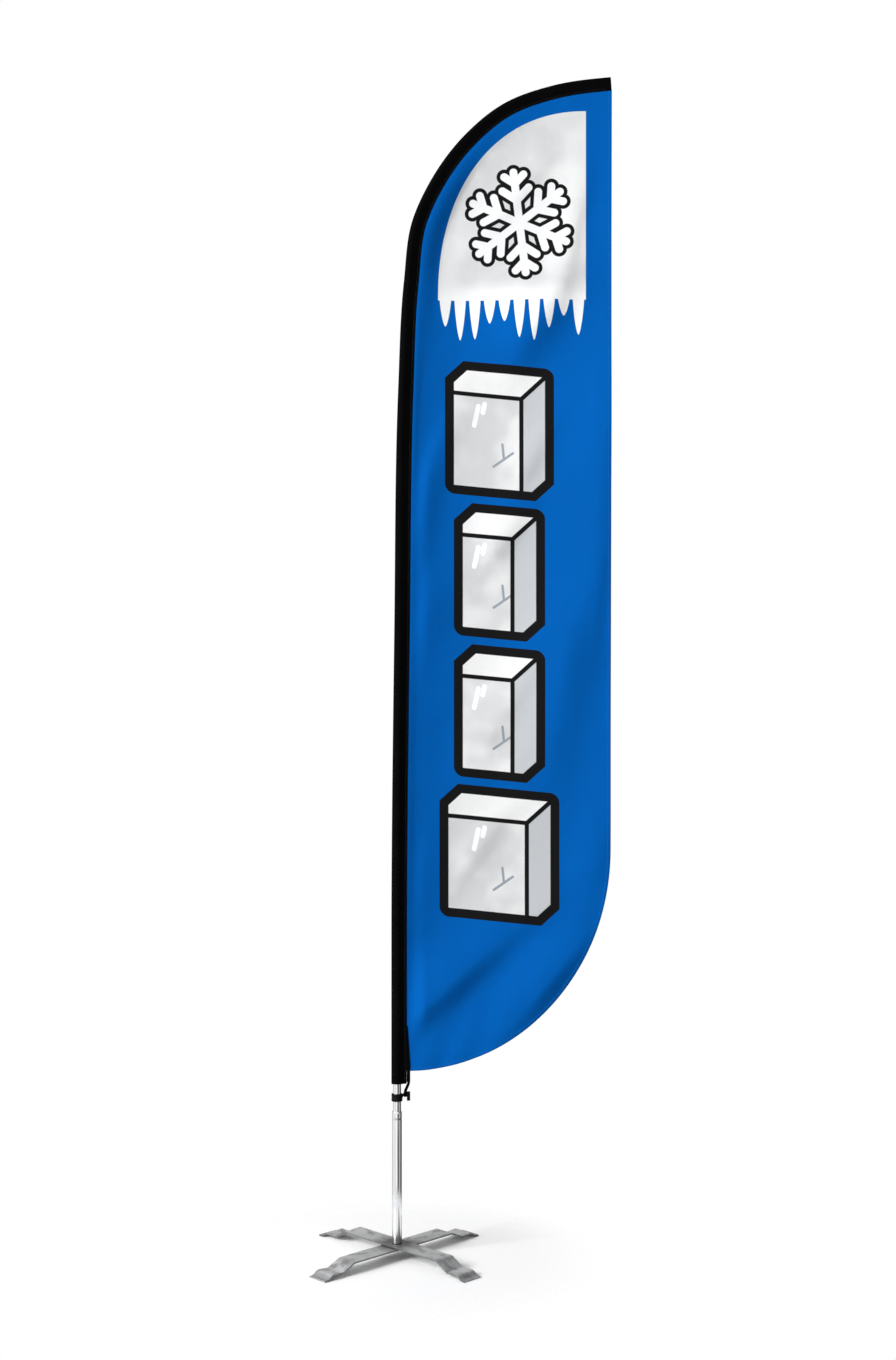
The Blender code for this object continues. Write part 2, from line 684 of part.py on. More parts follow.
def make_rotor(axis):
    """The sleeve that turns on the two bearings, its cap and its rubber grip rings."""
    make_bearing("lower_bearing", LOWER_BEARING_Z, axis)
    make_bearing("upper_bearing", UPPER_BEARING_Z, axis)
    half = BEARING_WIDTH / 2
    spacer = tube(RACE_BORE, RACE_BORE + SPACER_WALL, LOWER_BEARING_Z + half + FIT_GAP,
                  UPPER_BEARING_Z - half - FIT_GAP, SMALL_SIDES)
    new_object("inner_race_spacer", spacer, bright_steel(), axis)

    profile = [
        (BEARING_SEAT, ROTOR_FOOT),
        (BASE_TUBE_RADIUS, ROTOR_FOOT),
        (BASE_TUBE_RADIUS, ROTOR_FOOT + ROTOR_FLANGE),
        (ROTOR_RADIUS, ROTOR_FOOT + ROTOR_FLANGE),
    ]
    groove_half = GRIP_RING_RADIUS + FIT_GAP
    for height in GRIP_RING_HEIGHTS:
        middle = ROTOR_FOOT + height
        profile += [
            (ROTOR_RADIUS, middle - groove_half),
            (GROOVE_RADIUS, middle - groove_half),
            (GROOVE_RADIUS, middle + groove_half),
            (ROTOR_RADIUS, middle + groove_half),
        ]
    profile += [
        (ROTOR_RADIUS, ROTOR_TOP),
        (BEARING_SEAT, ROTOR_TOP),
        (BEARING_SEAT, UPPER_BEARING_Z - half - FIT_GAP),
        (ROTOR_RIB_BORE, UPPER_BEARING_Z - half - FIT_GAP),
        (ROTOR_RIB_BORE, LOWER_BEARING_Z + half + FIT_GAP),
        (BEARING_SEAT, LOWER_BEARING_Z + half + FIT_GAP),
    ]
    new_object("rotor_sleeve", turned(profile, SMALL_SIDES), black_nylon(), axis)

    for name, height in zip(("lower_grip_ring", "upper_grip_ring"), GRIP_RING_HEIGHTS):
        section = []
        for i in range(8):
            angle = math.tau * (i + 0.5) / 8
            section.append((GROOVE_RADIUS + FIT_GAP + GRIP_RING_RADIUS * (1 + math.cos(angle)),
                            GRIP_RING_RADIUS * math.sin(angle)))
        spot = (0.0, 0.0, ROTOR_FOOT + height)
        new_object(name, turned(section, SMALL_SIDES), black_rubber(), axis, spot)

    plug = BEARING_SEAT - FIT_GAP
    hollow = plug - CAP_PLUG_WALL
    flange_bottom = ROTOR_TOP + FIT_GAP
    flange_top = flange_bottom + CAP_FLANGE
    cap = [
        (hollow, CAP_PLUG_BOTTOM),
        (plug, CAP_PLUG_BOTTOM),
        (plug, flange_bottom),
        (ROTOR_RADIUS, flange_bottom),
        (ROTOR_RADIUS, flange_top),
        (CAP_NOSE_RADIUS, flange_top + CAP_NOSE_HEIGHT),
        (0.0, flange_top + CAP_NOSE_HEIGHT + CAP_CROWN),
        (0.0, flange_top),
        (hollow, flange_top - CAP_DISH),
    ]
    new_object("rotor_cap", turned(cap, SMALL_SIDES), black_nylon(), axis)


# ---------------------------------------------------------------- mast
def make_mast(axis):
    """Five push-fit sections, the ferrule on the fibre tube and the cap on the tip."""
    base_profile = [
        (BASE_TUBE_BORE, MAST_BOTTOM),
        (BASE_TUBE_RADIUS - TUBE_EDGE, MAST_BOTTOM),
        (BASE_TUBE_RADIUS, MAST_BOTTOM + TUBE_EDGE),
        (BASE_TUBE_RADIUS, BASE_JOINT - TUBE_EDGE),
        (BASE_TUBE_RADIUS - TUBE_EDGE, BASE_JOINT),
        (BASE_TUBE_BORE, BASE_JOINT),
    ]
    new_object("mast_base_tube", turned(base_profile, VISIBLE_SIDES), polished_aluminium(), axis)

    sections = (
        ("mast_lower_tube", BASE_JOINT, LOWER_JOINT, LOWER_TUBE_BORE, LOWER_TUBE_RADIUS,
         VISIBLE_SIDES, polished_aluminium()),
        ("mast_middle_tube", LOWER_JOINT, MIDDLE_JOINT, MIDDLE_TUBE_BORE, MIDDLE_TUBE_RADIUS,
         TUBE_SIDES, polished_aluminium()),
        ("mast_fibre_tube", MIDDLE_JOINT, UPPER_JOINT, FIBRE_TUBE_BORE, FIBRE_TUBE_RADIUS,
         TUBE_SIDES, fibreglass()),
    )
    for name, joint, top, bore, radius, sides, material in sections:
        shape = mast_tube(joint - PLUG_DEPTH, top, bore, radius, sides)
        new_object(name, shape, material, axis)

    ferrule_top = UPPER_JOINT - FERRULE_SETBACK
    ferrule = mast_tube(ferrule_top - FERRULE_LENGTH, ferrule_top, FIBRE_TUBE_RADIUS + FIT_GAP,
                        FERRULE_RADIUS, TUBE_SIDES)
    new_object("fibre_tube_ferrule", ferrule, bright_steel(), axis)
    make_tip(axis)


def make_tip(axis):
    """The tapered rod that bends through the arch, and its end cap."""
    rod_end = POLE_END - TIP_CAP_WALL - FIT_GAP
    taper_end = rod_end - TIP_CAP_LENGTH
    rings = []
    for mark in stations(UPPER_JOINT - PLUG_DEPTH, rod_end):
        share = min(max((mark - UPPER_JOINT) / (taper_end - UPPER_JOINT), 0.0), 1.0)
        rings.append(mast_ring(mark, ROD_RADIUS + (TIP_RADIUS - ROD_RADIUS) * share, ROD_SIDES))
    new_object("flexible_tip_rod", lofted(rings), fibreglass(), axis)

    mouth = POLE_END - TIP_CAP_LENGTH
    bore = TIP_RADIUS + FIT_GAP
    cap = [
        mast_ring(rod_end + FIT_GAP, bore, ROD_SIDES),
        mast_ring(mouth, bore, ROD_SIDES),
        mast_ring(mouth, TIP_CAP_RADIUS, ROD_SIDES),
        mast_ring(POLE_END, TIP_CAP_RADIUS, ROD_SIDES),
    ]
    new_object("mast_tip_cap", lofted(cap), black_rubber(), axis)


# ---------------------------------------------------------------- flag
def pocket_width(length):
    """Flat width of the pocket, which narrows towards the tip."""
    share = max((length - MIDDLE_JOINT) / (LEAD_END - MIDDLE_JOINT), 0.0)
    return POCKET_WIDTH + (POCKET_TIP_WIDTH - POCKET_WIDTH) * share


def pocket_ring(length, inset, seam):
    """Section of the pocket: round about the mast, then pulled straight to a seam at the panel."""
    point, normal = lead_at(length)
    middle = POCKET_EASE + room_radius(length)
    fullest = room_radius(length) + POCKET_SIDE_EASE + POCKET_CLOTH - inset
    width = pocket_width(length) - seam
    seam_half = PANEL_THICKNESS / 2 if inset else PANEL_THICKNESS
    side = []
    for i in range(POCKET_SIDES):
        across = middle - (middle - inset) * math.cos(math.pi / 2 * i / POCKET_SIDES)
        side.append((across, fullest * math.sin(math.pi / 2 * i / POCKET_SIDES)))
    reach = math.hypot(width - middle, seam_half)
    leave = math.atan2(seam_half, width - middle) + math.acos(fullest / reach)
    around = POCKET_SIDES // 2
    for i in range(around + 1):
        angle = math.pi / 2 + (leave - math.pi / 2) * i / around
        side.append((middle + fullest * math.cos(angle), fullest * math.sin(angle)))
    left_at, left_half = side[-1]
    for i in range(1, around + 1):
        share = i / around
        side.append((left_at + (width - left_at) * share,
                     left_half + (seam_half - left_half) * share))
    loop = side + [(across, -half) for across, half in reversed(side[1:])]
    ring = []
    for across, half in loop:
        spot = point + normal * across
        ring.append((spot.x, half, spot.y))
    return ring


def make_pocket(axis):
    """The black sleeve that is drawn over the mast, closed at its far end."""
    inner_marks = stations(POCKET_BOTTOM, LEAD_END - POCKET_END_CLOTH)
    outer_marks = stations(POCKET_BOTTOM, LEAD_END)
    rings = [pocket_ring(mark, POCKET_CLOTH, POCKET_SEAM) for mark in reversed(inner_marks)]
    rings += [pocket_ring(mark, 0.0, 0.0) for mark in outer_marks]
    new_object("mast_pocket", lofted(rings), black_cloth(), axis)

    end = LEAD_END - POCKET_END_CLOTH - FIT_GAP
    bore = LINER_RADIUS - LINER_WALL
    liner = [
        mast_ring(end - LINER_WALL, bore, ROD_SIDES),
        mast_ring(end - LINER_LENGTH, bore, ROD_SIDES),
        mast_ring(end - LINER_LENGTH, LINER_RADIUS, ROD_SIDES),
        mast_ring(end, LINER_RADIUS, ROD_SIDES),
    ]
    new_object("pocket_tip_liner", lofted(liner), black_rubber(), axis)


def panel_edge(length):
    """Point where the panel meets the pocket."""
    point, normal = lead_at(length)
    return point + normal * (pocket_width(length) + FIT_GAP)


def panel_outline():
    """The panel's outline in X and Z: up the pocket, down the free edge, round the corner."""
    outline = [tuple(panel_edge(mark)) for mark in stations(FLAG_BOTTOM, LEAD_END)]
    inner_x = outline[0][0]
    free_x = outline[-1][0] - FREE_EDGE_LEAN
    steps = 14
    for i in range(steps):
        angle = math.pi / 2 * i / steps
        outline.append((inner_x + (free_x - inner_x) * math.cos(angle),
                        FLAG_BOTTOM + CORNER_RISE * (1 - math.sin(angle))))
    return outline


def make_panel(axis):
    """The printed panel."""
    shape = extruded(
        panel_outline(),
        PANEL_THICKNESS,
        lambda a, b, c: (a, c - PANEL_THICKNESS / 2, b),
    )
    new_object("flag_panel", shape, blue_cloth(), axis)


def make_corner_tab(axis):
    """Webbing folded over the panel's lower corner beside the pocket, which holds the elastic."""
    gap = PANEL_THICKNESS / 2 + FIT_GAP
    outside = gap + TAB_PLY
    inner_x = panel_edge(FLAG_BOTTOM).x
    side_view = [
        (-outside, TAB_BOTTOM), (outside, TAB_BOTTOM), (outside, TAB_TOP), (gap, TAB_TOP),
        (gap, FLAG_BOTTOM - FIT_GAP), (-gap, FLAG_BOTTOM - FIT_GAP), (-gap, TAB_TOP),
        (-outside, TAB_TOP),
    ]
    shape = extruded(side_view, TAB_WIDTH, lambda a, b, c: (inner_x + c, a, b))
    for point in shape.verts:
        if point.co.z > TAB_TOP - FIT_GAP and point.co.x > inner_x + TAB_WIDTH / 2:
            point.co.x = inner_x + TAB_TOP_WIDTH
    new_object("corner_tab", shape, black_cloth(), axis)


# ---------------------------------------------------------------- tension collar and elastic
def hook_throat():
    """The hook's root, where its underside turns level, and the inside of its horn."""
    root = LOWER_TUBE_RADIUS + FIT_GAP + COLLAR_WALL / 2 + HOOK_ROOT
    return root, root + HOOK_THROAT


def hook_outline():
    """Side view of the hook: a bridge out of the collar and a horn turned down from it."""
    root, horn_inside = hook_throat()
    horn_outside = horn_inside + HORN_WIDTH
    corners = [
        (horn_inside, BRIDGE_BOTTOM),
        (horn_inside, HORN_TIP),
        (horn_outside, HORN_TIP),
        (horn_outside, BRIDGE_TOP),
        (horn_inside - HOOK_HEEL, BRIDGE_TOP),
    ]
    rounded = rounded_corners(corners, HOOK_ROUNDING, 3)
    return [(root - HOOK_ROOT, COLLAR_HEIGHT * 0.35), (root, BRIDGE_BOTTOM)] \
        + [tuple(point) for point in rounded] + [(root - HOOK_ROOT, COLLAR_HEIGHT * 0.9)]


def make_collar(axis):
    """The ring that grips the mast, with its hook."""
    bore = LOWER_TUBE_RADIUS + FIT_GAP
    outside = bore + COLLAR_WALL
    r = COLLAR_ROUNDING
    profile = [
        (bore, 0.0),
        (outside - r, 0.0),
        (outside - r * 0.3, r * 0.3),
        (outside, r),
        (outside, COLLAR_HEIGHT - r),
        (outside - r * 0.3, COLLAR_HEIGHT - r * 0.3),
        (outside - r, COLLAR_HEIGHT),
        (bore, COLLAR_HEIGHT),
    ]
    spot = (0.0, 0.0, COLLAR_BOTTOM)
    ring = new_object("tension_collar", turned(profile, VISIBLE_SIDES), black_nylon(), axis, spot)
    shape = extruded(hook_outline(), HOOK_THICKNESS, lambda a, b, c: (a, c - HOOK_THICKNESS / 2, b))
    hook = new_object("collar_hook_shape", shape, black_nylon(), axis, spot)
    hide_helper(hook)
    add_boolean(ring, hook, "UNION")


def elastic_route():
    """Half of the elastic's way: down from the tab and under the bridge, at y < 0."""
    touch = ELASTIC_THICKNESS / 2 + FIT_GAP
    inside = sum(hook_throat()) / 2
    bridge = COLLAR_BOTTOM + BRIDGE_BOTTOM
    top = COLLAR_BOTTOM + BRIDGE_TOP
    wide = HOOK_THICKNESS / 2 + touch + ELASTIC_SLACK
    hang_x = panel_edge(FLAG_BOTTOM).x + TAB_WIDTH / 2
    return [
        (hang_x, -touch, TAB_BOTTOM - FIT_GAP),
        (hang_x, -touch - FIT_GAP, TAB_BOTTOM - ELASTIC_DROP),
        (hang_x * 0.6 + inside * 0.4, -wide * 0.7, (TAB_BOTTOM + top) / 2),
        (inside, -wide, top),
        (inside, -wide, bridge + touch),
        (inside, -wide * 0.90, bridge - touch * 0.6),
        (inside, -wide * 0.62, bridge - touch - FIT_GAP),
        (inside, 0.0, bridge - touch - FIT_GAP),
    ]


def make_elastic(axis):
    """The loop of flat elastic band between the corner tab and the hook."""
    half = elastic_route()
    route = [Vector(point) for point in half]
    route += [Vector((x, -y, z)) for x, y, z in reversed(half[:-1])]
    across, thick = ELASTIC_WIDTH / 2, ELASTIC_THICKNESS / 2
    section = [(-across, -thick * 0.5), (-across * 0.94, -thick), (across * 0.94, -thick),
               (across, -thick * 0.5), (across, thick * 0.5), (across * 0.94, thick),
               (-across * 0.94, thick), (-across, thick * 0.5)]
    rings = []
    for i, point in enumerate(route):
        ahead = route[min(i + 1, len(route) - 1)] - point
        behind = point - route[max(i - 1, 0)]
        along = (ahead.normalized() + behind.normalized()).normalized()
        if i in (0, len(route) - 1):
            along = Vector((0.0, 0.0, -1.0 if i == 0 else 1.0))
        side = Vector((1.0, 0.0, 0.0))
        side = (side - along * side.dot(along)).normalized()
        other = along.cross(side)
        rings.append([point + side * a + other * b for a, b in section])
    new_object("elastic_loop", lofted(rings), black_cloth(), axis)


def main():
    """Build every piece about the mast's axis."""
    clear_scene()
    axis = new_empty("mast_axis", (AXIS_X, 0.0, 0.0))
    make_cross_base(axis)
    make_rotor(axis)
    make_mast(axis)
    make_pocket(axis)
    make_panel(axis)
    make_corner_tab(axis)
    make_collar(axis)
    make_elastic(axis)


main()
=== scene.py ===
import bisect
import json
import logging
import math
from dataclasses import dataclass, field
from enum import Enum
from typing import Callable, Optional, Sequence, Union

import bmesh
import bpy
from mathutils import Matrix, Vector, noise

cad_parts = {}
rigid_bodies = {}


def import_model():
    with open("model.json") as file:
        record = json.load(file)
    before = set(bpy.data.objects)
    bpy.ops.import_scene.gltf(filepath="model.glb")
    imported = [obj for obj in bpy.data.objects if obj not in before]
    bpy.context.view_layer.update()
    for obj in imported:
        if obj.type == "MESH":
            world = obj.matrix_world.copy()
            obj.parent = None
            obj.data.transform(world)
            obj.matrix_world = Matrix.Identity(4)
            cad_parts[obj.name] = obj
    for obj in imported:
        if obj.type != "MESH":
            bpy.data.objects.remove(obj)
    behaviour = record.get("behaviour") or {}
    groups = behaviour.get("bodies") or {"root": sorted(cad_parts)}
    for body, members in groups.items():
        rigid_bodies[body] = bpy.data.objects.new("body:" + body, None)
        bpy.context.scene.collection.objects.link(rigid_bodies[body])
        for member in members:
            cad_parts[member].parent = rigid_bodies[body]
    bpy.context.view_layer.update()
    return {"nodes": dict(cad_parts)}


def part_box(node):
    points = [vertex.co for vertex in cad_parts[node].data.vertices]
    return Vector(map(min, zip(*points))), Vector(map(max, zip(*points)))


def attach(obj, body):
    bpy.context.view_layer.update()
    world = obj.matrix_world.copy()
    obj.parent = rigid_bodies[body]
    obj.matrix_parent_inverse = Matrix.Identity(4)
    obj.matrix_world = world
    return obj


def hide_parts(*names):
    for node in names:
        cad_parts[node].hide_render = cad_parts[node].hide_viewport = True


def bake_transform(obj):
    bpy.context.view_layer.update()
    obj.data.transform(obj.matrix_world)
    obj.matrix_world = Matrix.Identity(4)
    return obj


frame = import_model()
log = logging.getLogger("feather_flag")

Point2 = tuple[float, float]
Colour = tuple[float, float, float]
Stroke = tuple[Point2, float, float]

# Clearance between touching parts, height of the panel's foot, and the merging distance.
GAP = 0.0003
PANEL_FOOT = 0.644
MERGE = 1e-6


def clamped(value: float) -> float:
    """A value held between 0 and 1."""
    return min(max(value, 0.0), 1.0)


def looked_up(keys: Sequence[float], values: Sequence[float], key: float) -> float:
    """The value at a key, between the rows of a table of rising keys and held at its ends.

    Args:
        keys: the rising keys.
        values: a value for each key.
        key: the key to look up.

    Returns:
        The value.
    """
    i = min(max(bisect.bisect_right(keys, key) - 1, 0), len(keys) - 2)
    share = clamped((key - keys[i]) / (keys[i + 1] - keys[i]))
    return values[i] + (values[i + 1] - values[i]) * share


def distances(points: Sequence[Vector]) -> list[float]:
    """Length along a line at each of its points.

    Args:
        points: the line's points.

    Returns:
        A length for each point.
    """
    lengths = [0.0]
    for a, b in zip(points, points[1:]):
        lengths.append(lengths[-1] + (b - a).length)
    return lengths


# ============================================================ material nodes
def operator(operation: str, swapped: bool = False) -> Callable[..., "Signal"]:
    """A method of Signal that makes one Math node.

    Args:
        operation: what the node does.
        swapped: whether the other value comes first.

    Returns:
        The method.
    """
    def method(self: "Signal", *others: "Number") -> "Signal":
        """Make the node and give its output."""
        return self.nodes.math(operation, *((*others, self) if swapped else (self, *others)))

    return method


class Signal:
    """A value on its way through a material, which takes part in ordinary arithmetic."""

    def __init__(self, nodes: "NodeSheet", socket: bpy.types.NodeSocket) -> None:
        """Keep the sheet of nodes and the output socket that carries the value."""
        self.nodes = nodes
        self.socket = socket

    __add__ = __radd__ = operator("ADD")
    __mul__ = operator("MULTIPLY")
    __sub__ = operator("SUBTRACT")
    __rsub__ = operator("SUBTRACT", swapped=True)
    __truediv__ = operator("DIVIDE")
    __pow__ = operator("POWER")
    __abs__ = operator("ABSOLUTE")
    low = operator("MINIMUM")
    high = operator("MAXIMUM")
    sine = operator("SINE")

    def __neg__(self) -> "Signal":
        """Opposite."""
        return self * -1.0

    def ramp(self, start: float, end: float) -> "Signal":
        """0 at start, 1 at end, and an S between them.

        Args:
            start: the value that gives 0.
            end: the value that gives 1, above or below start.

        Returns:
            The eased share.
        """
        made = self.nodes.add("ShaderNodeMapRange", {"interpolation_type": "SMOOTHSTEP"},
                              {"Value": self, "From Min": start, "From Max": end})
        return Signal(self.nodes, made.outputs["Result"])


Number = Union[float, Signal]


class NodeSheet:
    """The nodes of one material or of the surroundings."""

    def __init__(self, owner: Union[str, bpy.types.World]) -> None:
        """Start a material of a given name, or take the surroundings.

        Args:
            owner: a new material's name, or the surroundings.
        """
        if isinstance(owner, str):
            owner = bpy.data.materials.new(owner)
        self.owner = owner
        self.owner.use_nodes = True
        self.tree = self.owner.node_tree

    def add(self, kind: str, settings: dict, sockets: dict) -> bpy.types.Node:
        """Make a node, set it, then fill or link its sockets.

        Args:
            kind: the node's type.
            settings: its properties.
            sockets: plain values, signals or output sockets, by input name or number.

        Returns:
            The new node.
        """
        made = self.tree.nodes.new(kind)
        for name, value in settings.items():
            setattr(made, name, value)
        for key, value in sockets.items():
            if isinstance(value, Signal):
                value = value.socket
            if isinstance(value, bpy.types.NodeSocket):
                self.tree.links.new(value, made.inputs[key])
            else:
                made.inputs[key].default_value = value
        return made

    def math(self, operation: str, *operands: Number) -> Signal:
        """A Math node on up to three operands."""
        made = self.add("ShaderNodeMath", {"operation": operation}, dict(enumerate(operands)))
        return Signal(self, made.outputs[0])

    def mix(self, share: Number, first: object, second: object) -> Signal:
        """Blend two colours.

        Args:
            share: 0 for the first colour, 1 for the second.
            first: a colour or its signal.
            second: a colour or its signal.

        Returns:
            The blended colour.
        """
        values = {0: share}
        for key, value in ((6, first), (7, second)):
            values[key] = (*value, 1.0) if isinstance(value, tuple) else value
        made = self.add("ShaderNodeMix", {"data_type": "RGBA"}, values)
        return Signal(self, made.outputs[2])

    def place(self) -> bpy.types.NodeSocket:
        """Object coordinates, in metres."""
        return self.add("ShaderNodeTexCoord", {}, {}).outputs["Object"]

    def split(self, vector: object) -> tuple[Signal, Signal, Signal]:
        """The three parts of a vector."""
        made = self.add("ShaderNodeSeparateXYZ", {}, {0: vector})
        return tuple(Signal(self, out) for out in made.outputs)

    def surface(self) -> tuple[Signal, Signal]:
        """The two coordinates that follow the surface, in metres.

        Returns:
            Across and along.
        """
        made = self.add("ShaderNodeUVMap", {"uv_map": "cloth"}, {})
        u, v, _ = self.split(made.outputs[0])
        return u, v

    def joined(self, x: Number, y: Number) -> bpy.types.NodeSocket:
        """A flat vector of two values."""
        return self.add("ShaderNodeCombineXYZ", {}, {0: x, 1: y}).outputs[0]

    def scaled(self, scale: Sequence[float]) -> bpy.types.NodeSocket:
        """Object coordinates, stretched along each axis."""
        made = self.add("ShaderNodeMapping", {}, {"Vector": self.place(), "Scale": tuple(scale)})
        return made.outputs[0]

    def noise(self, vector: object, scale: float, detail: float = 2.0) -> Signal:
        """Soft noise from 0 to 1 at some number of lumps in a metre.

        Args:
            vector: the place to read it at.
            scale: lumps in a metre.
            detail: layers of finer noise.

        Returns:
            The noise.
        """
        made = self.add("ShaderNodeTexNoise", {},
                        {"Vector": vector, "Scale": scale, "Detail": detail, "Roughness": 0.55})
        return Signal(self, made.outputs[0])

    def relief(self, height: Signal, depth: float, strength: float = 1.0) -> Signal:
        """A normal from a height.

        Args:
            height: the height, from 0 to 1.
            depth: metres that 1 stands for.
            strength: share of the effect that is kept.

        Returns:
            The normal.
        """
        made = self.add("ShaderNodeBump", {},
                        {"Strength": strength, "Distance": depth, "Height": height})
        return Signal(self, made.outputs[0])

    def radius(self, x: Signal, y: Signal) -> Signal:
        """Length of a flat vector."""
        return self.math("SQRT", x * x + y * y)

    def layered(self, colour: object, *layers: tuple) -> Signal:
        """Lay colours over one another, each with the share that it covers.

        Args:
            colour: the colour underneath.
            *layers: pairs of a share and a colour, from below upwards.

        Returns:
            The colour that shows.
        """
        for share, paint in layers:
            colour = self.mix(share, colour, paint)
        return colour

    def finish(self, **sockets: object) -> bpy.types.Material:
        """Fill the surface's sockets; an underscore in a name stands for a space.

        Args:
            **sockets: constants, colours or signals.

        Returns:
            The material.
        """
        for name, value in sockets.items():
            socket = self.tree.nodes["Principled BSDF"].inputs[name.replace("_", " ")]
            if isinstance(value, Signal):
                self.tree.links.new(value.socket, socket)
            elif isinstance(value, tuple):
                socket.default_value = (*value, 1.0)
            else:
                socket.default_value = value
        return self.owner


# ============================================================ finishes
@dataclass(frozen=True)
class Artwork:
    """The plain pattern on the cloth, in metres from the mast's axis and the floor."""

    frost_right: float = 0.6576
    frost_foot: float = 3.333
    frost_reach: float = 0.515
    frost_rise: float = 0.651
    fringe_pitch: float = 0.0515
    flake_at: Point2 = (0.427, 3.600)
    flake_arm: float = 0.176
    flake_turn: float = math.radians(83.0)
    flake_half: float = 0.0135
    flake_line: float = 0.0130
    flake_twigs: tuple[Stroke, ...] = (((0.078, 0.0), 50.0, 0.060), ((0.136, 0.0), 50.0, 0.044))
    block_at: Point2 = (0.357, 2.872)
    block_pitch: float = 0.4925
    block_count: int = 4
    block_width: float = 0.318
    wide_first: float = 0.062
    wide_last: float = 0.100
    block_height: float = 0.466
    block_depth: float = 0.082
    block_line: float = 0.0315
    block_round: float = 0.034
    seam_half: float = 0.0075
    glints: tuple[Stroke, ...] = (((-0.088, 0.012), 78.0, 0.070), ((-0.058, 0.060), 78.0, 0.030))
    glint_half: float = 0.0085
    cracks: tuple[Stroke, ...] = (((-0.020, -0.125), 38.0, 0.085), ((0.016, -0.097), 96.0, 0.052))
    crack_half: float = 0.0042
    slope: float = math.tan(math.radians(5.5))
    soft: float = 0.0012


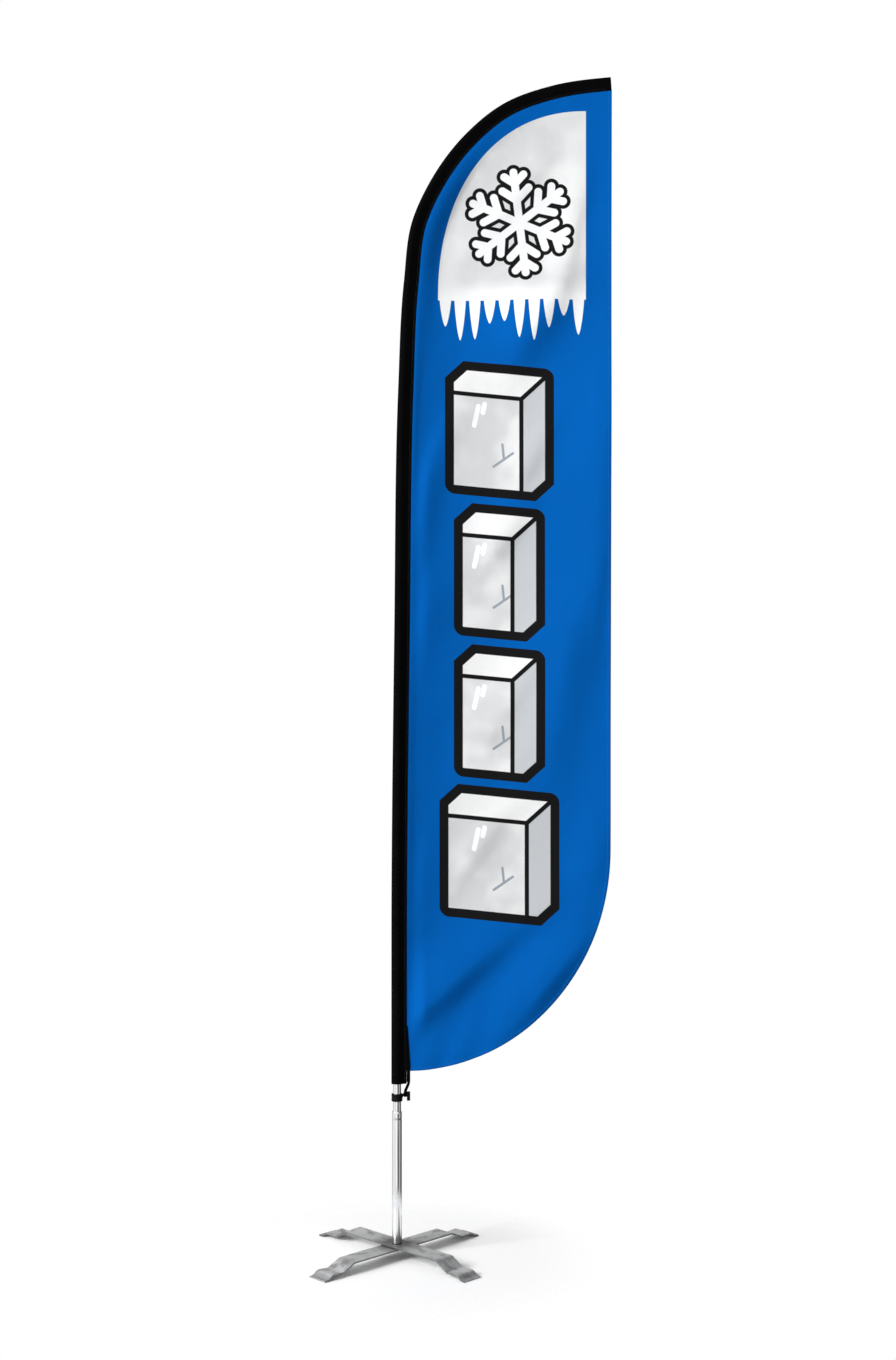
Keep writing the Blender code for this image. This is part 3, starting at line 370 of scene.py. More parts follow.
@dataclass(frozen=True)
class PrintedCloth:
    """Knitted polyester with a printed pattern: a frosted quarter, a snowflake and ice blocks."""

    art: Artwork = Artwork()
    field_blue: Colour = (0.0, 0.1140, 0.462)
    deep_blue: Colour = (0.0, 0.086, 0.348)
    ink: Colour = (0.0088, 0.0088, 0.0095)
    frost_grey: Colour = (0.66, 0.67, 0.68)
    frost_white: Colour = (0.82, 0.825, 0.83)
    icicle_white: Colour = (0.93, 0.935, 0.94)
    flake_white: Colour = (0.86, 0.87, 0.88)
    front_grey: Colour = (0.665, 0.675, 0.685)
    front_white: Colour = (0.845, 0.850, 0.855)
    top_white: Colour = (0.88, 0.885, 0.89)
    side_grey: Colour = (0.555, 0.58, 0.605)
    glint_white: Colour = (0.96, 0.965, 0.97)
    crack_grey: Colour = (0.32, 0.36, 0.41)
    knit_pitch: float = 0.0023

    def _frost(self, u: Signal, v: Signal) -> Signal:
        """1 inside the frosted quarter and its row of icicles, 0 outside.

        Args:
            u: across the cloth.
            v: up the cloth.

        Returns:
            The share.
        """
        art = self.art
        across = ((art.frost_right - u) / art.frost_reach).high(0.0)
        up = ((v - art.frost_foot) / art.frost_rise).high(0.0)
        arch = 1.0 - (across ** 2.2 + up ** 2.2)
        place = (art.frost_right - u) / art.fringe_pitch
        aside = 1.0 - u.nodes.math("PINGPONG", place, 0.5) * 2.0
        number = u.nodes.math("FLOOR", place)
        wild = abs((number * 2.4 + 0.9).sine())
        tooth = (1.0 - (aside * 1.30).low(1.0) ** 1.6) ** 0.80
        drop = tooth * (0.040 + wild * 0.105) + 0.004
        below = v - (art.frost_foot - drop)
        side = (art.frost_right - u).low(u - (art.frost_right - art.frost_reach))
        soft = art.soft
        return arch.ramp(-0.003, 0.003) * below.ramp(-soft, soft) * side.ramp(-soft, soft)

    def _snowflake(self, u: Signal, v: Signal) -> Signal:
        """Distance from the middle lines of a six-armed snowflake.

        Args:
            u: across the cloth.
            v: up the cloth.

        Returns:
            The distance in metres.
        """
        nodes, art = u.nodes, self.art
        x, y = u - art.flake_at[0], v - art.flake_at[1]
        angle = nodes.math("ARCTAN2", y, x) + art.flake_turn
        radius = nodes.radius(x, y)
        sector = math.pi / 3
        turned = nodes.math("WRAP", angle, sector / 2, -sector / 2)
        along = radius * nodes.math("COSINE", turned)
        aside = abs(radius * nodes.math("SINE", turned))
        return self._strokes(along, aside, ((0.0, 0.0), 0.0, art.flake_arm), *art.flake_twigs)

    @staticmethod
    def _strokes(x: Signal, y: Signal, *strokes: Stroke) -> Signal:
        """Distance in metres from the nearest of some straight strokes.

        Args:
            x: across the pattern.
            y: up the pattern.
            *strokes: where each starts, its angle from x in degrees, and its length.

        Returns:
            The distance.
        """
        best = None
        for start, lean, length in strokes:
            c, s = math.cos(math.radians(lean)), math.sin(math.radians(lean))
            dx, dy = x - start[0], y - start[1]
            along = dx * c + dy * s
            over = along - along.high(0.0).low(length)
            off = x.nodes.radius(over, dy * c - dx * s)
            best = best.low(off) if best else off
        return best

    def _block(self, u: Signal, v: Signal) -> tuple[Signal, Signal, Signal, Signal]:
        """Where a point lies in the nearest ice block.

        Args:
            u: across the cloth.
            v: up the cloth.

        Returns:
            x and y from the block's middle, half its width, and the depth inside its outline.
        """
        nodes, art = u.nodes, self.art
        x = u - art.block_at[0]
        level = v - art.block_at[1] + x * art.slope
        step = nodes.math("ROUND", level / art.block_pitch)
        step = step.high(1.0 - art.block_count).low(0.0)
        y = level - step * art.block_pitch
        first = nodes.math("COMPARE", step, 0.0, 0.5)
        last = nodes.math("COMPARE", step, 1.0 - art.block_count, 0.5)
        half_x = (first * art.wide_first + last * art.wide_last + art.block_width) * 0.5
        half_y, bend = art.block_height / 2, art.block_round
        over_x = (abs(x) - half_x + bend).high(0.0)
        over_y = (abs(y) - half_y + bend).high(0.0)
        box = bend - nodes.radius(over_x, over_y)
        cut = (half_x + half_y - art.block_depth * 0.78 - abs(x - y)) * math.sqrt(0.5)
        return x, y, half_x, box.low(cut)

    def _block_colour(self, flat: bpy.types.NodeSocket, x: Signal, y: Signal,
                      half_x: Signal) -> Signal:
        """The faces of a block: its front, its lighter top, its darker side, and frost in it.

        Args:
            flat: the cloth's flat coordinates.
            x: across from the block's middle.
            y: up from the block's middle.
            half_x: half the block's width.

        Returns:
            The colour.
        """
        nodes, art, soft = x.nodes, self.art, self.art.soft
        corner_x = half_x - art.block_line - art.block_depth
        corner_y = art.block_height / 2 - art.block_line - art.block_depth
        right, top = x - corner_x, y - corner_y
        over = (right - top).ramp(-soft, soft)
        cloud = nodes.noise(flat, 5.2, 2.0)
        front = nodes.mix(cloud.ramp(0.38, 0.66), self.front_grey, self.front_white)
        flank = nodes.mix(over, self.top_white, self.side_grey)
        shade = nodes.mix(right.high(top).ramp(-soft, soft), front, flank)
        for strokes, half, paint in ((art.glints, art.glint_half, self.glint_white),
                                     (art.cracks, art.crack_half, self.crack_grey)):
            line = self._strokes(x, y, *strokes)
            shade = nodes.mix(line.ramp(half + soft, half - soft), shade, paint)
        edge_x = abs(right).high(top)
        edge_y = abs(top).high(right)
        edge_d = (abs(right - top) * math.sqrt(0.5)).high(-right).high(-top)
        seam = edge_x.low(edge_y).low(edge_d)
        return nodes.mix(seam.ramp(art.seam_half + soft, art.seam_half - soft), shade, self.ink)

    def material(self) -> bpy.types.Material:
        """The cloth's material, on its own flat coordinates.

        Returns:
            The material.
        """
        nodes = NodeSheet("printed_cloth")
        art, soft = self.art, self.art.soft
        u, v = nodes.surface()
        flat = nodes.joined(u, v)

        drift = nodes.noise(flat, 2.6, 3.0)
        colour = nodes.mix(drift.ramp(0.30, 0.75) * 0.30, self.field_blue, self.deep_blue)

        haze = nodes.noise(flat, 4.0, 2.0)
        cold = nodes.layered(
            self.frost_grey, (haze.ramp(0.40, 0.66), self.frost_white),
            ((art.frost_foot + 0.02 - v).ramp(-0.06, 0.03), self.icicle_white))
        colour = nodes.mix(self._frost(u, v), colour, cold)

        flake = self._snowflake(u, v)
        for half, paint in ((art.flake_half + art.flake_line, self.ink),
                            (art.flake_half, self.flake_white)):
            colour = nodes.mix(flake.ramp(half + soft, half - soft), colour, paint)

        x, y, half_x, depth = self._block(u, v)
        colour = nodes.mix(depth.ramp(-soft, soft), colour, self.ink)
        face = depth.ramp(art.block_line - soft, art.block_line + soft)
        colour = nodes.mix(face, colour, self._block_colour(flat, x, y, half_x))

        loop = math.tau / self.knit_pitch
        knit = (u * loop).sine() * (v * loop).sine()
        colour = nodes.mix(knit.ramp(-1.0, 1.0) * 0.08, colour, (0.0, 0.0, 0.0))
        slub = nodes.noise(nodes.joined(u * 0.2, v), 420.0, 1.0)
        height = knit * 0.35 + slub * 0.25 + nodes.noise(flat, 28.0, 2.0) * 2.2
        return nodes.finish(
            Base_Color=colour, Roughness=slub.ramp(0.2, 0.9) * 0.10 + 0.72,
            Normal=nodes.relief(height, 0.0009, 0.6), Specular_IOR_Level=0.03,
        )


@dataclass(frozen=True)
class BlackWeave:
    """Black cloth, webbing or braid, woven at a given pitch on its own coordinates."""

    name: str
    pitch: Point2
    colour: Colour = (0.0008, 0.0008, 0.0010)
    light: Colour = (0.0036, 0.0036, 0.0041)
    depth: float = 0.00035

    def material(self) -> bpy.types.Material:
        """The weave's material.

        Returns:
            The material.
        """
        nodes = NodeSheet(self.name)
        u, v = nodes.surface()
        a, b = u * (math.tau / self.pitch[0]), v * (math.tau / self.pitch[1])
        weave = (a.sine() * b.sine() + 1.0) * 0.5
        flat = nodes.joined(u, v)
        fuzz = nodes.noise(flat, 900.0, 2.0)
        worn = nodes.noise(flat, 9.0, 3.0)
        share = weave * 0.5 + fuzz * 0.25 + worn.ramp(0.45, 0.8) * 0.3
        height = weave * 0.8 + fuzz * 0.35
        return nodes.finish(
            Base_Color=nodes.mix(share, self.colour, self.light),
            Roughness=fuzz * 0.15 + 0.74, Normal=nodes.relief(height, self.depth, 0.7),
            Specular_IOR_Level=0.02,
        )


class Metal(Enum):
    """The metals: name, colour, dark patches, roughness, its spread, and how metallic it is."""

    BAR_STEEL = ("bar_steel", (0.56, 0.565, 0.57), (0.25, 0.25, 0.255), 0.40, 0.16, 0.60)
    BRIGHT_STEEL = ("bright_steel", (0.60, 0.60, 0.61), (0.36, 0.36, 0.37), 0.20, 0.14, 1.0)
    BEARING_STEEL = ("bearing_steel", (0.66, 0.66, 0.67), (0.45, 0.45, 0.46), 0.12, 0.10, 1.0)
    ALUMINIUM = ("polished_aluminium", (0.90, 0.905, 0.915), (0.62, 0.63, 0.65), 0.10, 0.10, 1.0)

    def material(self) -> bpy.types.Material:
        """The metal's material: streaks along the drawing, stains and small scratches.

        Returns:
            The material.
        """
        name, bright, dark, rough, spread, metallic = self.value
        nodes = NodeSheet(name)
        place = nodes.place()
        drawn = self is Metal.ALUMINIUM
        stretch = (260.0, 260.0, 3.0) if drawn else (160.0, 160.0, 160.0)
        grain = nodes.noise(nodes.scaled(stretch), 3.0 if drawn else 5.0, 3.0)
        stain = nodes.noise(place, 14.0, 4.0)
        fleck = nodes.noise(place, 240.0, 2.0)
        dull = stain.ramp(0.52, 0.78) * (0.30 if drawn else 0.55) + grain * 0.12
        scuff = fleck.ramp(0.62, 0.74)
        colour = nodes.mix(dull + scuff * 0.12, bright, dark)
        if self is Metal.BAR_STEEL:
            # Bar steel also gets painted shade at the knees and round the mast's foot, and a
            # painted highlight in each trough.
            colour = self._bar_wear_and_shade(nodes, place, colour)
        return nodes.finish(
            Base_Color=colour, Metallic=metallic,
            Roughness=grain * spread + stain.ramp(0.4, 0.8) * spread + (rough - spread * 0.4),
            Normal=nodes.relief(grain * 0.6 + fleck * 0.5, 0.00012, 0.5),
        )

    @staticmethod
    def _bar_wear_and_shade(nodes: NodeSheet, place: bpy.types.NodeSocket, colour: Signal) -> Signal:
        """A bar's stains, painted shade at its knees, darker toes, a painted highlight in each
        trough, its dark edges and painted shade round the mast's foot.

        Args:
            nodes: the material's nodes.
            place: Object coordinates.
            colour: the plain steel.

        Returns:
            The worn steel, with its painted shade and highlight.
        """
        across, along = nodes.surface()
        x, y, _ = nodes.split(place)
        low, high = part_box("mast_base_tube")
        away = nodes.radius(x - (low.x + high.x) / 2, y)
        ragged = nodes.noise(place, 34.0, 3.0)
        bloom = nodes.noise(place, 9.0, 3.0)
        cloud = nodes.noise(nodes.joined(across * 1.2, along * 0.8), 17.0, 3.0)
        # Painted shade at the knees, where the bar bends; the toes are darker too.
        knee = abs(abs(along) - 0.2375) + ragged * 0.03
        # Painted highlight along the bottom of each trough.
        trough = abs(abs(along) - 0.292) + ragged * 0.02
        toe = (abs(along) + ragged * 0.02).ramp(0.338, 0.352)
        # Painted shade round the mast's foot, darkest next to the tube.
        hub_shade = (away + ragged * 0.06).ramp(0.150, 0.060)
        rim = (abs(across) + ragged * 0.0016).ramp(0.0385, 0.0402)
        return nodes.layered(
            colour, (bloom.ramp(0.35, 0.7) * 0.5, (0.74, 0.745, 0.75)),
            (cloud.ramp(0.48, 0.60) * 0.60, (0.19, 0.19, 0.195)),
            (knee.ramp(0.036, 0.012) * 0.50 + toe * 0.55, (0.20, 0.20, 0.205)),
            (trough.ramp(0.024, 0.008) * 0.35, (0.86, 0.865, 0.87)),
            (hub_shade * 0.85, (0.075, 0.075, 0.078)),
            (rim * 0.85, (0.13, 0.13, 0.132)))


class Moulded(Enum):
    """Non-metals: name, colour, lighter marks, roughness, depth of the surface's texture."""

    BLACK_NYLON = ("black_nylon", (0.0022, 0.0022, 0.0025), (0.007, 0.007, 0.008), 0.56, 0.00022)
    WHITE_NYLON = ("white_nylon", (0.74, 0.73, 0.69), (0.60, 0.59, 0.55), 0.48, 0.00015)
    RUBBER = ("black_rubber", (0.011, 0.011, 0.011), (0.030, 0.029, 0.028), 0.72, 0.0003)
    FIBREGLASS = ("fibreglass", (0.016, 0.016, 0.018), (0.055, 0.056, 0.060), 0.34, 0.00015)

    def material(self) -> bpy.types.Material:
        """The moulding's material: fine grain, handling marks and, on rods, fibres.

        Returns:
            The material.
        """
        name, colour, marks, rough, depth = self.value
        nodes = NodeSheet(name)
        place = nodes.place()
        fibres = self is Moulded.FIBREGLASS
        stretch = (900.0, 900.0, 12.0) if fibres else (700.0, 700.0, 700.0)
        grain = nodes.noise(nodes.scaled(stretch), 1.0, 2.0)
        rubbed = nodes.noise(place, 45.0, 4.0)
        share = rubbed.ramp(0.55, 0.8) * 0.5 + grain * (0.5 if fibres else 0.15)
        return nodes.finish(
            Base_Color=nodes.mix(share, colour, marks),
            Roughness=rubbed * 0.18 + grain * 0.08 + (rough - 0.1),
            Normal=nodes.relief(grain, depth, 0.6),
            Specular_IOR_Level=0.09 if self is Moulded.BLACK_NYLON else 0.22,
        )


# ============================================================ making pieces
def outward(shape: bmesh.types.BMesh) -> bmesh.types.BMesh:
    """Point the faces of a shape outwards."""
    bmesh.ops.recalc_face_normals(shape, faces=shape.faces)
    return shape


def placed(name: str, shape: bmesh.types.BMesh, material: bpy.types.Material) -> bpy.types.Object:
    """Turn a shape into an object of the scene; the shape is used up.

    Args:
        name: the object's name.
        shape: the shape, in place.
        material: what it is made of.

    Returns:
        The object.
    """
    mesh = bpy.data.meshes.new(name)
    shape.to_mesh(mesh)
    shape.free()
    mesh.materials.append(material)
    item = bpy.data.objects.new(name, mesh)
    bpy.context.scene.collection.objects.link(item)
    return item


def shaped_grid(columns: int, rows: int, place: Callable[[float, float], Vector],
                cloth: Callable[[float, float], Point2]) -> bmesh.types.BMesh:
    """A flat grid, moved onto a surface; edges that meet there are merged.

    Args:
        columns: cells across.
        rows: cells along.
        place: the point for a share across and a share along.
        cloth: the flat coordinates for the same shares.

    Returns:
        The surface, with its flat coordinates.
    """
    shape = bmesh.new()
    layer = shape.loops.layers.uv.new("cloth")
    bmesh.ops.create_grid(shape, x_segments=columns, y_segments=rows, size=0.5)
    flat = {vert: cloth(vert.co.x + 0.5, vert.co.y + 0.5) for vert in shape.verts}
    for face in shape.faces:
        for loop in face.loops:
            loop[layer].uv = flat[loop.vert]
    for vert in shape.verts:
        vert.co = place(vert.co.x + 0.5, vert.co.y + 0.5)
    bmesh.ops.remove_doubles(shape, verts=shape.verts, dist=MERGE)
    return outward(shape)


def closed_ends(shape: bmesh.types.BMesh, beyond: float = -math.inf) -> bmesh.types.BMesh:
    """Close the open ends of a tube that lie beyond an X, and point its faces outwards.

    Args:
        shape: the tube.
        beyond: the X past which its ends are closed.

    Returns:
        The same shape.
    """
    open_edges = [edge for edge in shape.edges
                  if edge.is_boundary and all(vert.co.x > beyond for vert in edge.verts)]
    bmesh.ops.holes_fill(shape, edges=open_edges, sides=0)
    return outward(shape)


def lathe(profile: Sequence[Point2], centre: Vector, steps: int) -> bmesh.types.BMesh:
    """Spin a closed profile of radius and height round an upright axis.

    Args:
        profile: points of the section, in order.
        centre: a point on the axis, from which heights are measured.
        steps: sides of the turned shape.

    Returns:
        The turned shape.
    """
    shape = bmesh.new()
    first = shape.verts.new((profile[0][0], 0.0, profile[0][1]))
    ring, last = [first], first
    for radius, height in profile[1:]:
        grown = bmesh.ops.extrude_vert_indiv(shape, verts=[last])
        last = grown["verts"][0]
        last.co = (radius, 0.0, height)
        ring.append(last)
    shape.edges.new((last, first))
    bmesh.ops.spin(shape, geom=ring + shape.edges[:], cent=(0, 0, 0), axis=(0, 0, 1),
                   angle=math.tau, steps=steps, use_merge=True, use_duplicate=False)
    bmesh.ops.remove_doubles(shape, verts=shape.verts, dist=MERGE)
    bmesh.ops.translate(shape, verts=shape.verts, vec=centre)
    return outward(shape)


def plate(outline: Sequence[Vector], thickness: Vector) -> bmesh.types.BMesh:
    """Extrude a closed outline by a vector.

    Args:
        outline: the outline's points, in order.
        thickness: how far it is drawn out, and which way.

    Returns:
        The plate.
    """
    shape = bmesh.new()
    face = shape.faces.new([shape.verts.new(point) for point in outline])
    grown = bmesh.ops.extrude_face_region(shape, geom=[face])
    moved = [part for part in grown["geom"] if isinstance(part, bmesh.types.BMVert)]
    bmesh.ops.translate(shape, verts=moved, vec=thickness)
    return outward(shape)


def rounded_line(points: Sequence[Point2], radius: float, steps: int) -> list[Vector]:
    """Replace the inner corners of an open line by arcs.

    Args:
        points: the line's corners.
        radius: radius of each arc.
        steps: chords in each arc.

    Returns:
        The rounded line's points.
    """
    corners = [Vector(point) for point in points]
    line = [corners[0]]
    for before, corner, after in zip(corners, corners[1:], corners[2:]):
        back, on = (before - corner).normalized(), (after - corner).normalized()
        half = back.angle(on) / 2
        start = corner + back * (radius / math.tan(half))
        centre = corner + (back + on).normalized() * (radius / math.sin(half))
        arm, turn = start - centre, math.pi - 2 * half
        side = 1.0 if back.cross(on) < 0 else -1.0
        for k in range(steps + 1):
            angle = side * turn * k / steps
            spun = Vector((arm.x * math.cos(angle) - arm.y * math.sin(angle),
                           arm.x * math.sin(angle) + arm.y * math.cos(angle)))
            line.append(centre + spun)
    line.append(corners[-1])
    return line


@dataclass
class Workshop:
    """Turns finished shapes into named pieces, and hands out the shared materials."""

    made: dict[str, bpy.types.Material] = field(default_factory=dict)

    def material(self, finish: object) -> bpy.types.Material:
        """The material of a finish, made once.

        Args:
            finish: the finish.

        Returns:
            Its material.
        """
        key = repr(finish)
        if key not in self.made:
            self.made[key] = finish.material()
        return self.made[key]

    def piece(self, name: str, shape: bmesh.types.BMesh, finish: object, slot: str,
              body: Optional[str], stands_for: Sequence[str] = (), sharp: float = 35.0,
              wall: float = 0.0, inward: bool = False) -> bpy.types.Object:
        """Make a piece of the object.

        Args:
            name: the piece's name.
            shape: its mesh, in place, which is used up.
            finish: the finish that it is given.
            slot: the record's material slot; not used.
            body: the body that it rides on, or None if it blends between two.
            stands_for: the CAD nodes that it replaces.
            sharp: faces that meet at more than this many degrees keep a sharp edge.
            wall: thickness that a sheet is given.
            inward: whether that thickness lies inside the shape and not about it.

        Returns:
            The new object.
        """
        item = placed(name, shape, self.material(finish))
        item.data.shade_smooth()
        item.data.set_sharp_from_angle(angle=math.radians(sharp))
        if body:
            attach(item, body)
        if stands_for:
            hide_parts(*stands_for)
        if wall:
            step = item.modifiers.new("Wall", "SOLIDIFY")
            step.thickness = wall
            step.offset = -1.0 if inward else 0.0
        log.info("%s: %d faces, %s", name, len(item.data.polygons), body or "blended")
        return item

    def dress(self, finish: object, *names: str) -> None:
        """Give CAD nodes that keep their shape a finish.

        Args:
            finish: the finish.
            *names: the nodes' names.
        """
        for name in names:
            item = frame["nodes"][name]
            item.data.materials.clear()
            item.data.materials.append(self.material(finish))
            log.info("%s: dressed", name)


# ============================================================ the mast's line and the flag's cut
@dataclass
class MastLine:
    """The leading edge of the flag, with the mast inside it and the panel's seam behind it."""

    axis_x: float
    height: float = 4.102
    reach: float = 0.743
    tube_radius: float = 0.0142
    ease: float = 0.0054
    side_ease: float = 0.0020
    cloth: float = 0.0010
    bend_start: float = 1.100
    pocket_width: float = 0.0535
    tip_width: float = 0.047
    narrowing_from: float = 2.750
    seam_half: float = 0.0012
    samples: int = 24
    points: list[Vector] = field(init=False)
    lengths: list[float] = field(init=False)
    end: float = field(init=False)
    shape: tuple[Point2, ...] = (
        (0.0, 0.0), (0.358, 0.0131), (0.638, 0.0308), (0.764, 0.0572), (0.834, 0.0958),
        (0.876, 0.170), (0.932, 0.331), (0.969, 0.510), (0.990, 0.732), (1.0, 1.0),
    )
    rooms: tuple[Point2, ...] = ((1.620, 0.0142), (2.750, 0.0119), (3.420, 0.0108))

    def __post_init__(self) -> None:
        """Draw the curve and measure along it."""
        front = -(self.tube_radius + self.ease)
        knots = [Vector((front + across * (self.reach - front),
                         self.bend_start + up * (self.height - self.bend_start)))
                 for up, across in self.shape]
        spans = [(b - a).length for a, b in zip(knots, knots[1:])]
        slopes = [(b - a) / span for a, b, span in zip(knots, knots[1:], spans)]
        tangents = [Vector((0.0, 1.0))]
        for i in range(1, len(knots) - 1):
            near, far = spans[i - 1], spans[i]
            tangents.append((slopes[i - 1] * far + slopes[i] * near) / (near + far))
        tangents.append(slopes[-1] * 1.5 - tangents[-1] * 0.5)
        self.points = [Vector((front, 0.0))]
        for i, span in enumerate(spans):
            for k in range(self.samples):
                t = k / self.samples
                keep = 2 * t ** 3 - 3 * t ** 2 + 1
                self.points.append(
                    knots[i] * keep + tangents[i] * (span * (t ** 3 - 2 * t ** 2 + t))
                    + knots[i + 1] * (1 - keep) + tangents[i + 1] * (span * (t ** 3 - t ** 2)))
        self.points.append(knots[-1])
        self.lengths = distances(self.points)
        self.end = self.lengths[-1]

    def _direction(self, index: int) -> Vector:
        """Direction of the curve at one of its points."""
        low, high = max(index - 1, 0), min(index + 1, len(self.points) - 1)
        return (self.points[high] - self.points[low]).normalized()

    def at(self, length: float) -> tuple[Vector, Vector]:
        """Point and inward normal of the leading edge, in X from the axis and Z.

        Args:
            length: place along the leading edge.

        Returns:
            The point and the normal.
        """
        index = bisect.bisect_right(self.lengths, length) - 1
        index = min(max(index, 0), len(self.points) - 2)
        share = (length - self.lengths[index]) / (self.lengths[index + 1] - self.lengths[index])
        along = self._direction(index).lerp(self._direction(index + 1), share).normalized()
        return self.points[index].lerp(self.points[index + 1], share), Vector((along.y, -along.x))

    def room(self, length: float) -> float:
        """Radius that the sleeve leaves for the mast."""
        places, radii = zip(*self.rooms, (self.end, 0.0060))
        return looked_up(places, radii, length)

    def width(self, length: float) -> float:
        """Flat width of the sleeve."""
        share = max((length - self.narrowing_from) / (self.end - self.narrowing_from), 0.0)
        return self.pocket_width + (self.tip_width - self.pocket_width) * share

    def seam(self, length: float) -> Vector:
        """Where the printed panel meets the sleeve, in X from the axis and Z."""
        point, normal = self.at(length)
        return point + normal * (self.width(length) + GAP)

    def section(self, length: float, sides: int) -> list[Point2]:
        """Half of the sleeve's section: how far in from the leading edge, and half thickness.

        Args:
            length: place along the leading edge.
            sides: chords in the half section, a multiple of four.

        Returns:
            Points from the leading edge to the seam.
        """
        room, width = self.room(length), self.width(length)
        middle = self.ease + room
        full = room + self.side_ease + self.cloth
        quarter = sides // 4
        half = [(middle * (1 - math.cos(math.pi / 4 * i / quarter)),
                 full * math.sin(math.pi / 4 * i / quarter)) for i in range(2 * quarter)]
        reach = math.hypot(width - middle, self.seam_half)
        leave = math.atan2(self.seam_half, width - middle) + math.acos(full / reach)
        for i in range(quarter + 1):
            angle = math.pi / 2 + (leave - math.pi / 2) * i / quarter
            half.append((middle + full * math.cos(angle), full * math.sin(angle)))
        left = half[-1]
        for i in range(1, quarter + 1):
            share = i / quarter
            half.append((left[0] + (width - left[0]) * share,
                         left[1] + (self.seam_half - left[1]) * share))
        return half


@dataclass(frozen=True)
class Fold:
    """One soft, slanting fold in the hanging cloth, in metres from the axis and the floor.

    Its flank below and to the right can be steeper than the one above and to the left. A ridge
    has a height above 0 and a valley one below 0.
    """

    x: float
    z: float
    lean: float
    half_length: float
    below: float
    above: float
    height: float

    def at(self, x: float, z: float) -> float:
        """How far the fold moves the cloth at a point.

        Args:
            x: across from the mast's axis.
            z: up from the floor.

        Returns:
            The movement in metres.
        """
        c, s = math.cos(math.radians(self.lean)), math.sin(math.radians(self.lean))
        along = ((x - self.x) * c + (z - self.z) * s) / self.half_length
        off = -(x - self.x) * s + (z - self.z) * c
        off /= self.above if off > 0 else self.below
        return self.height * math.exp(-along * along - off * off)


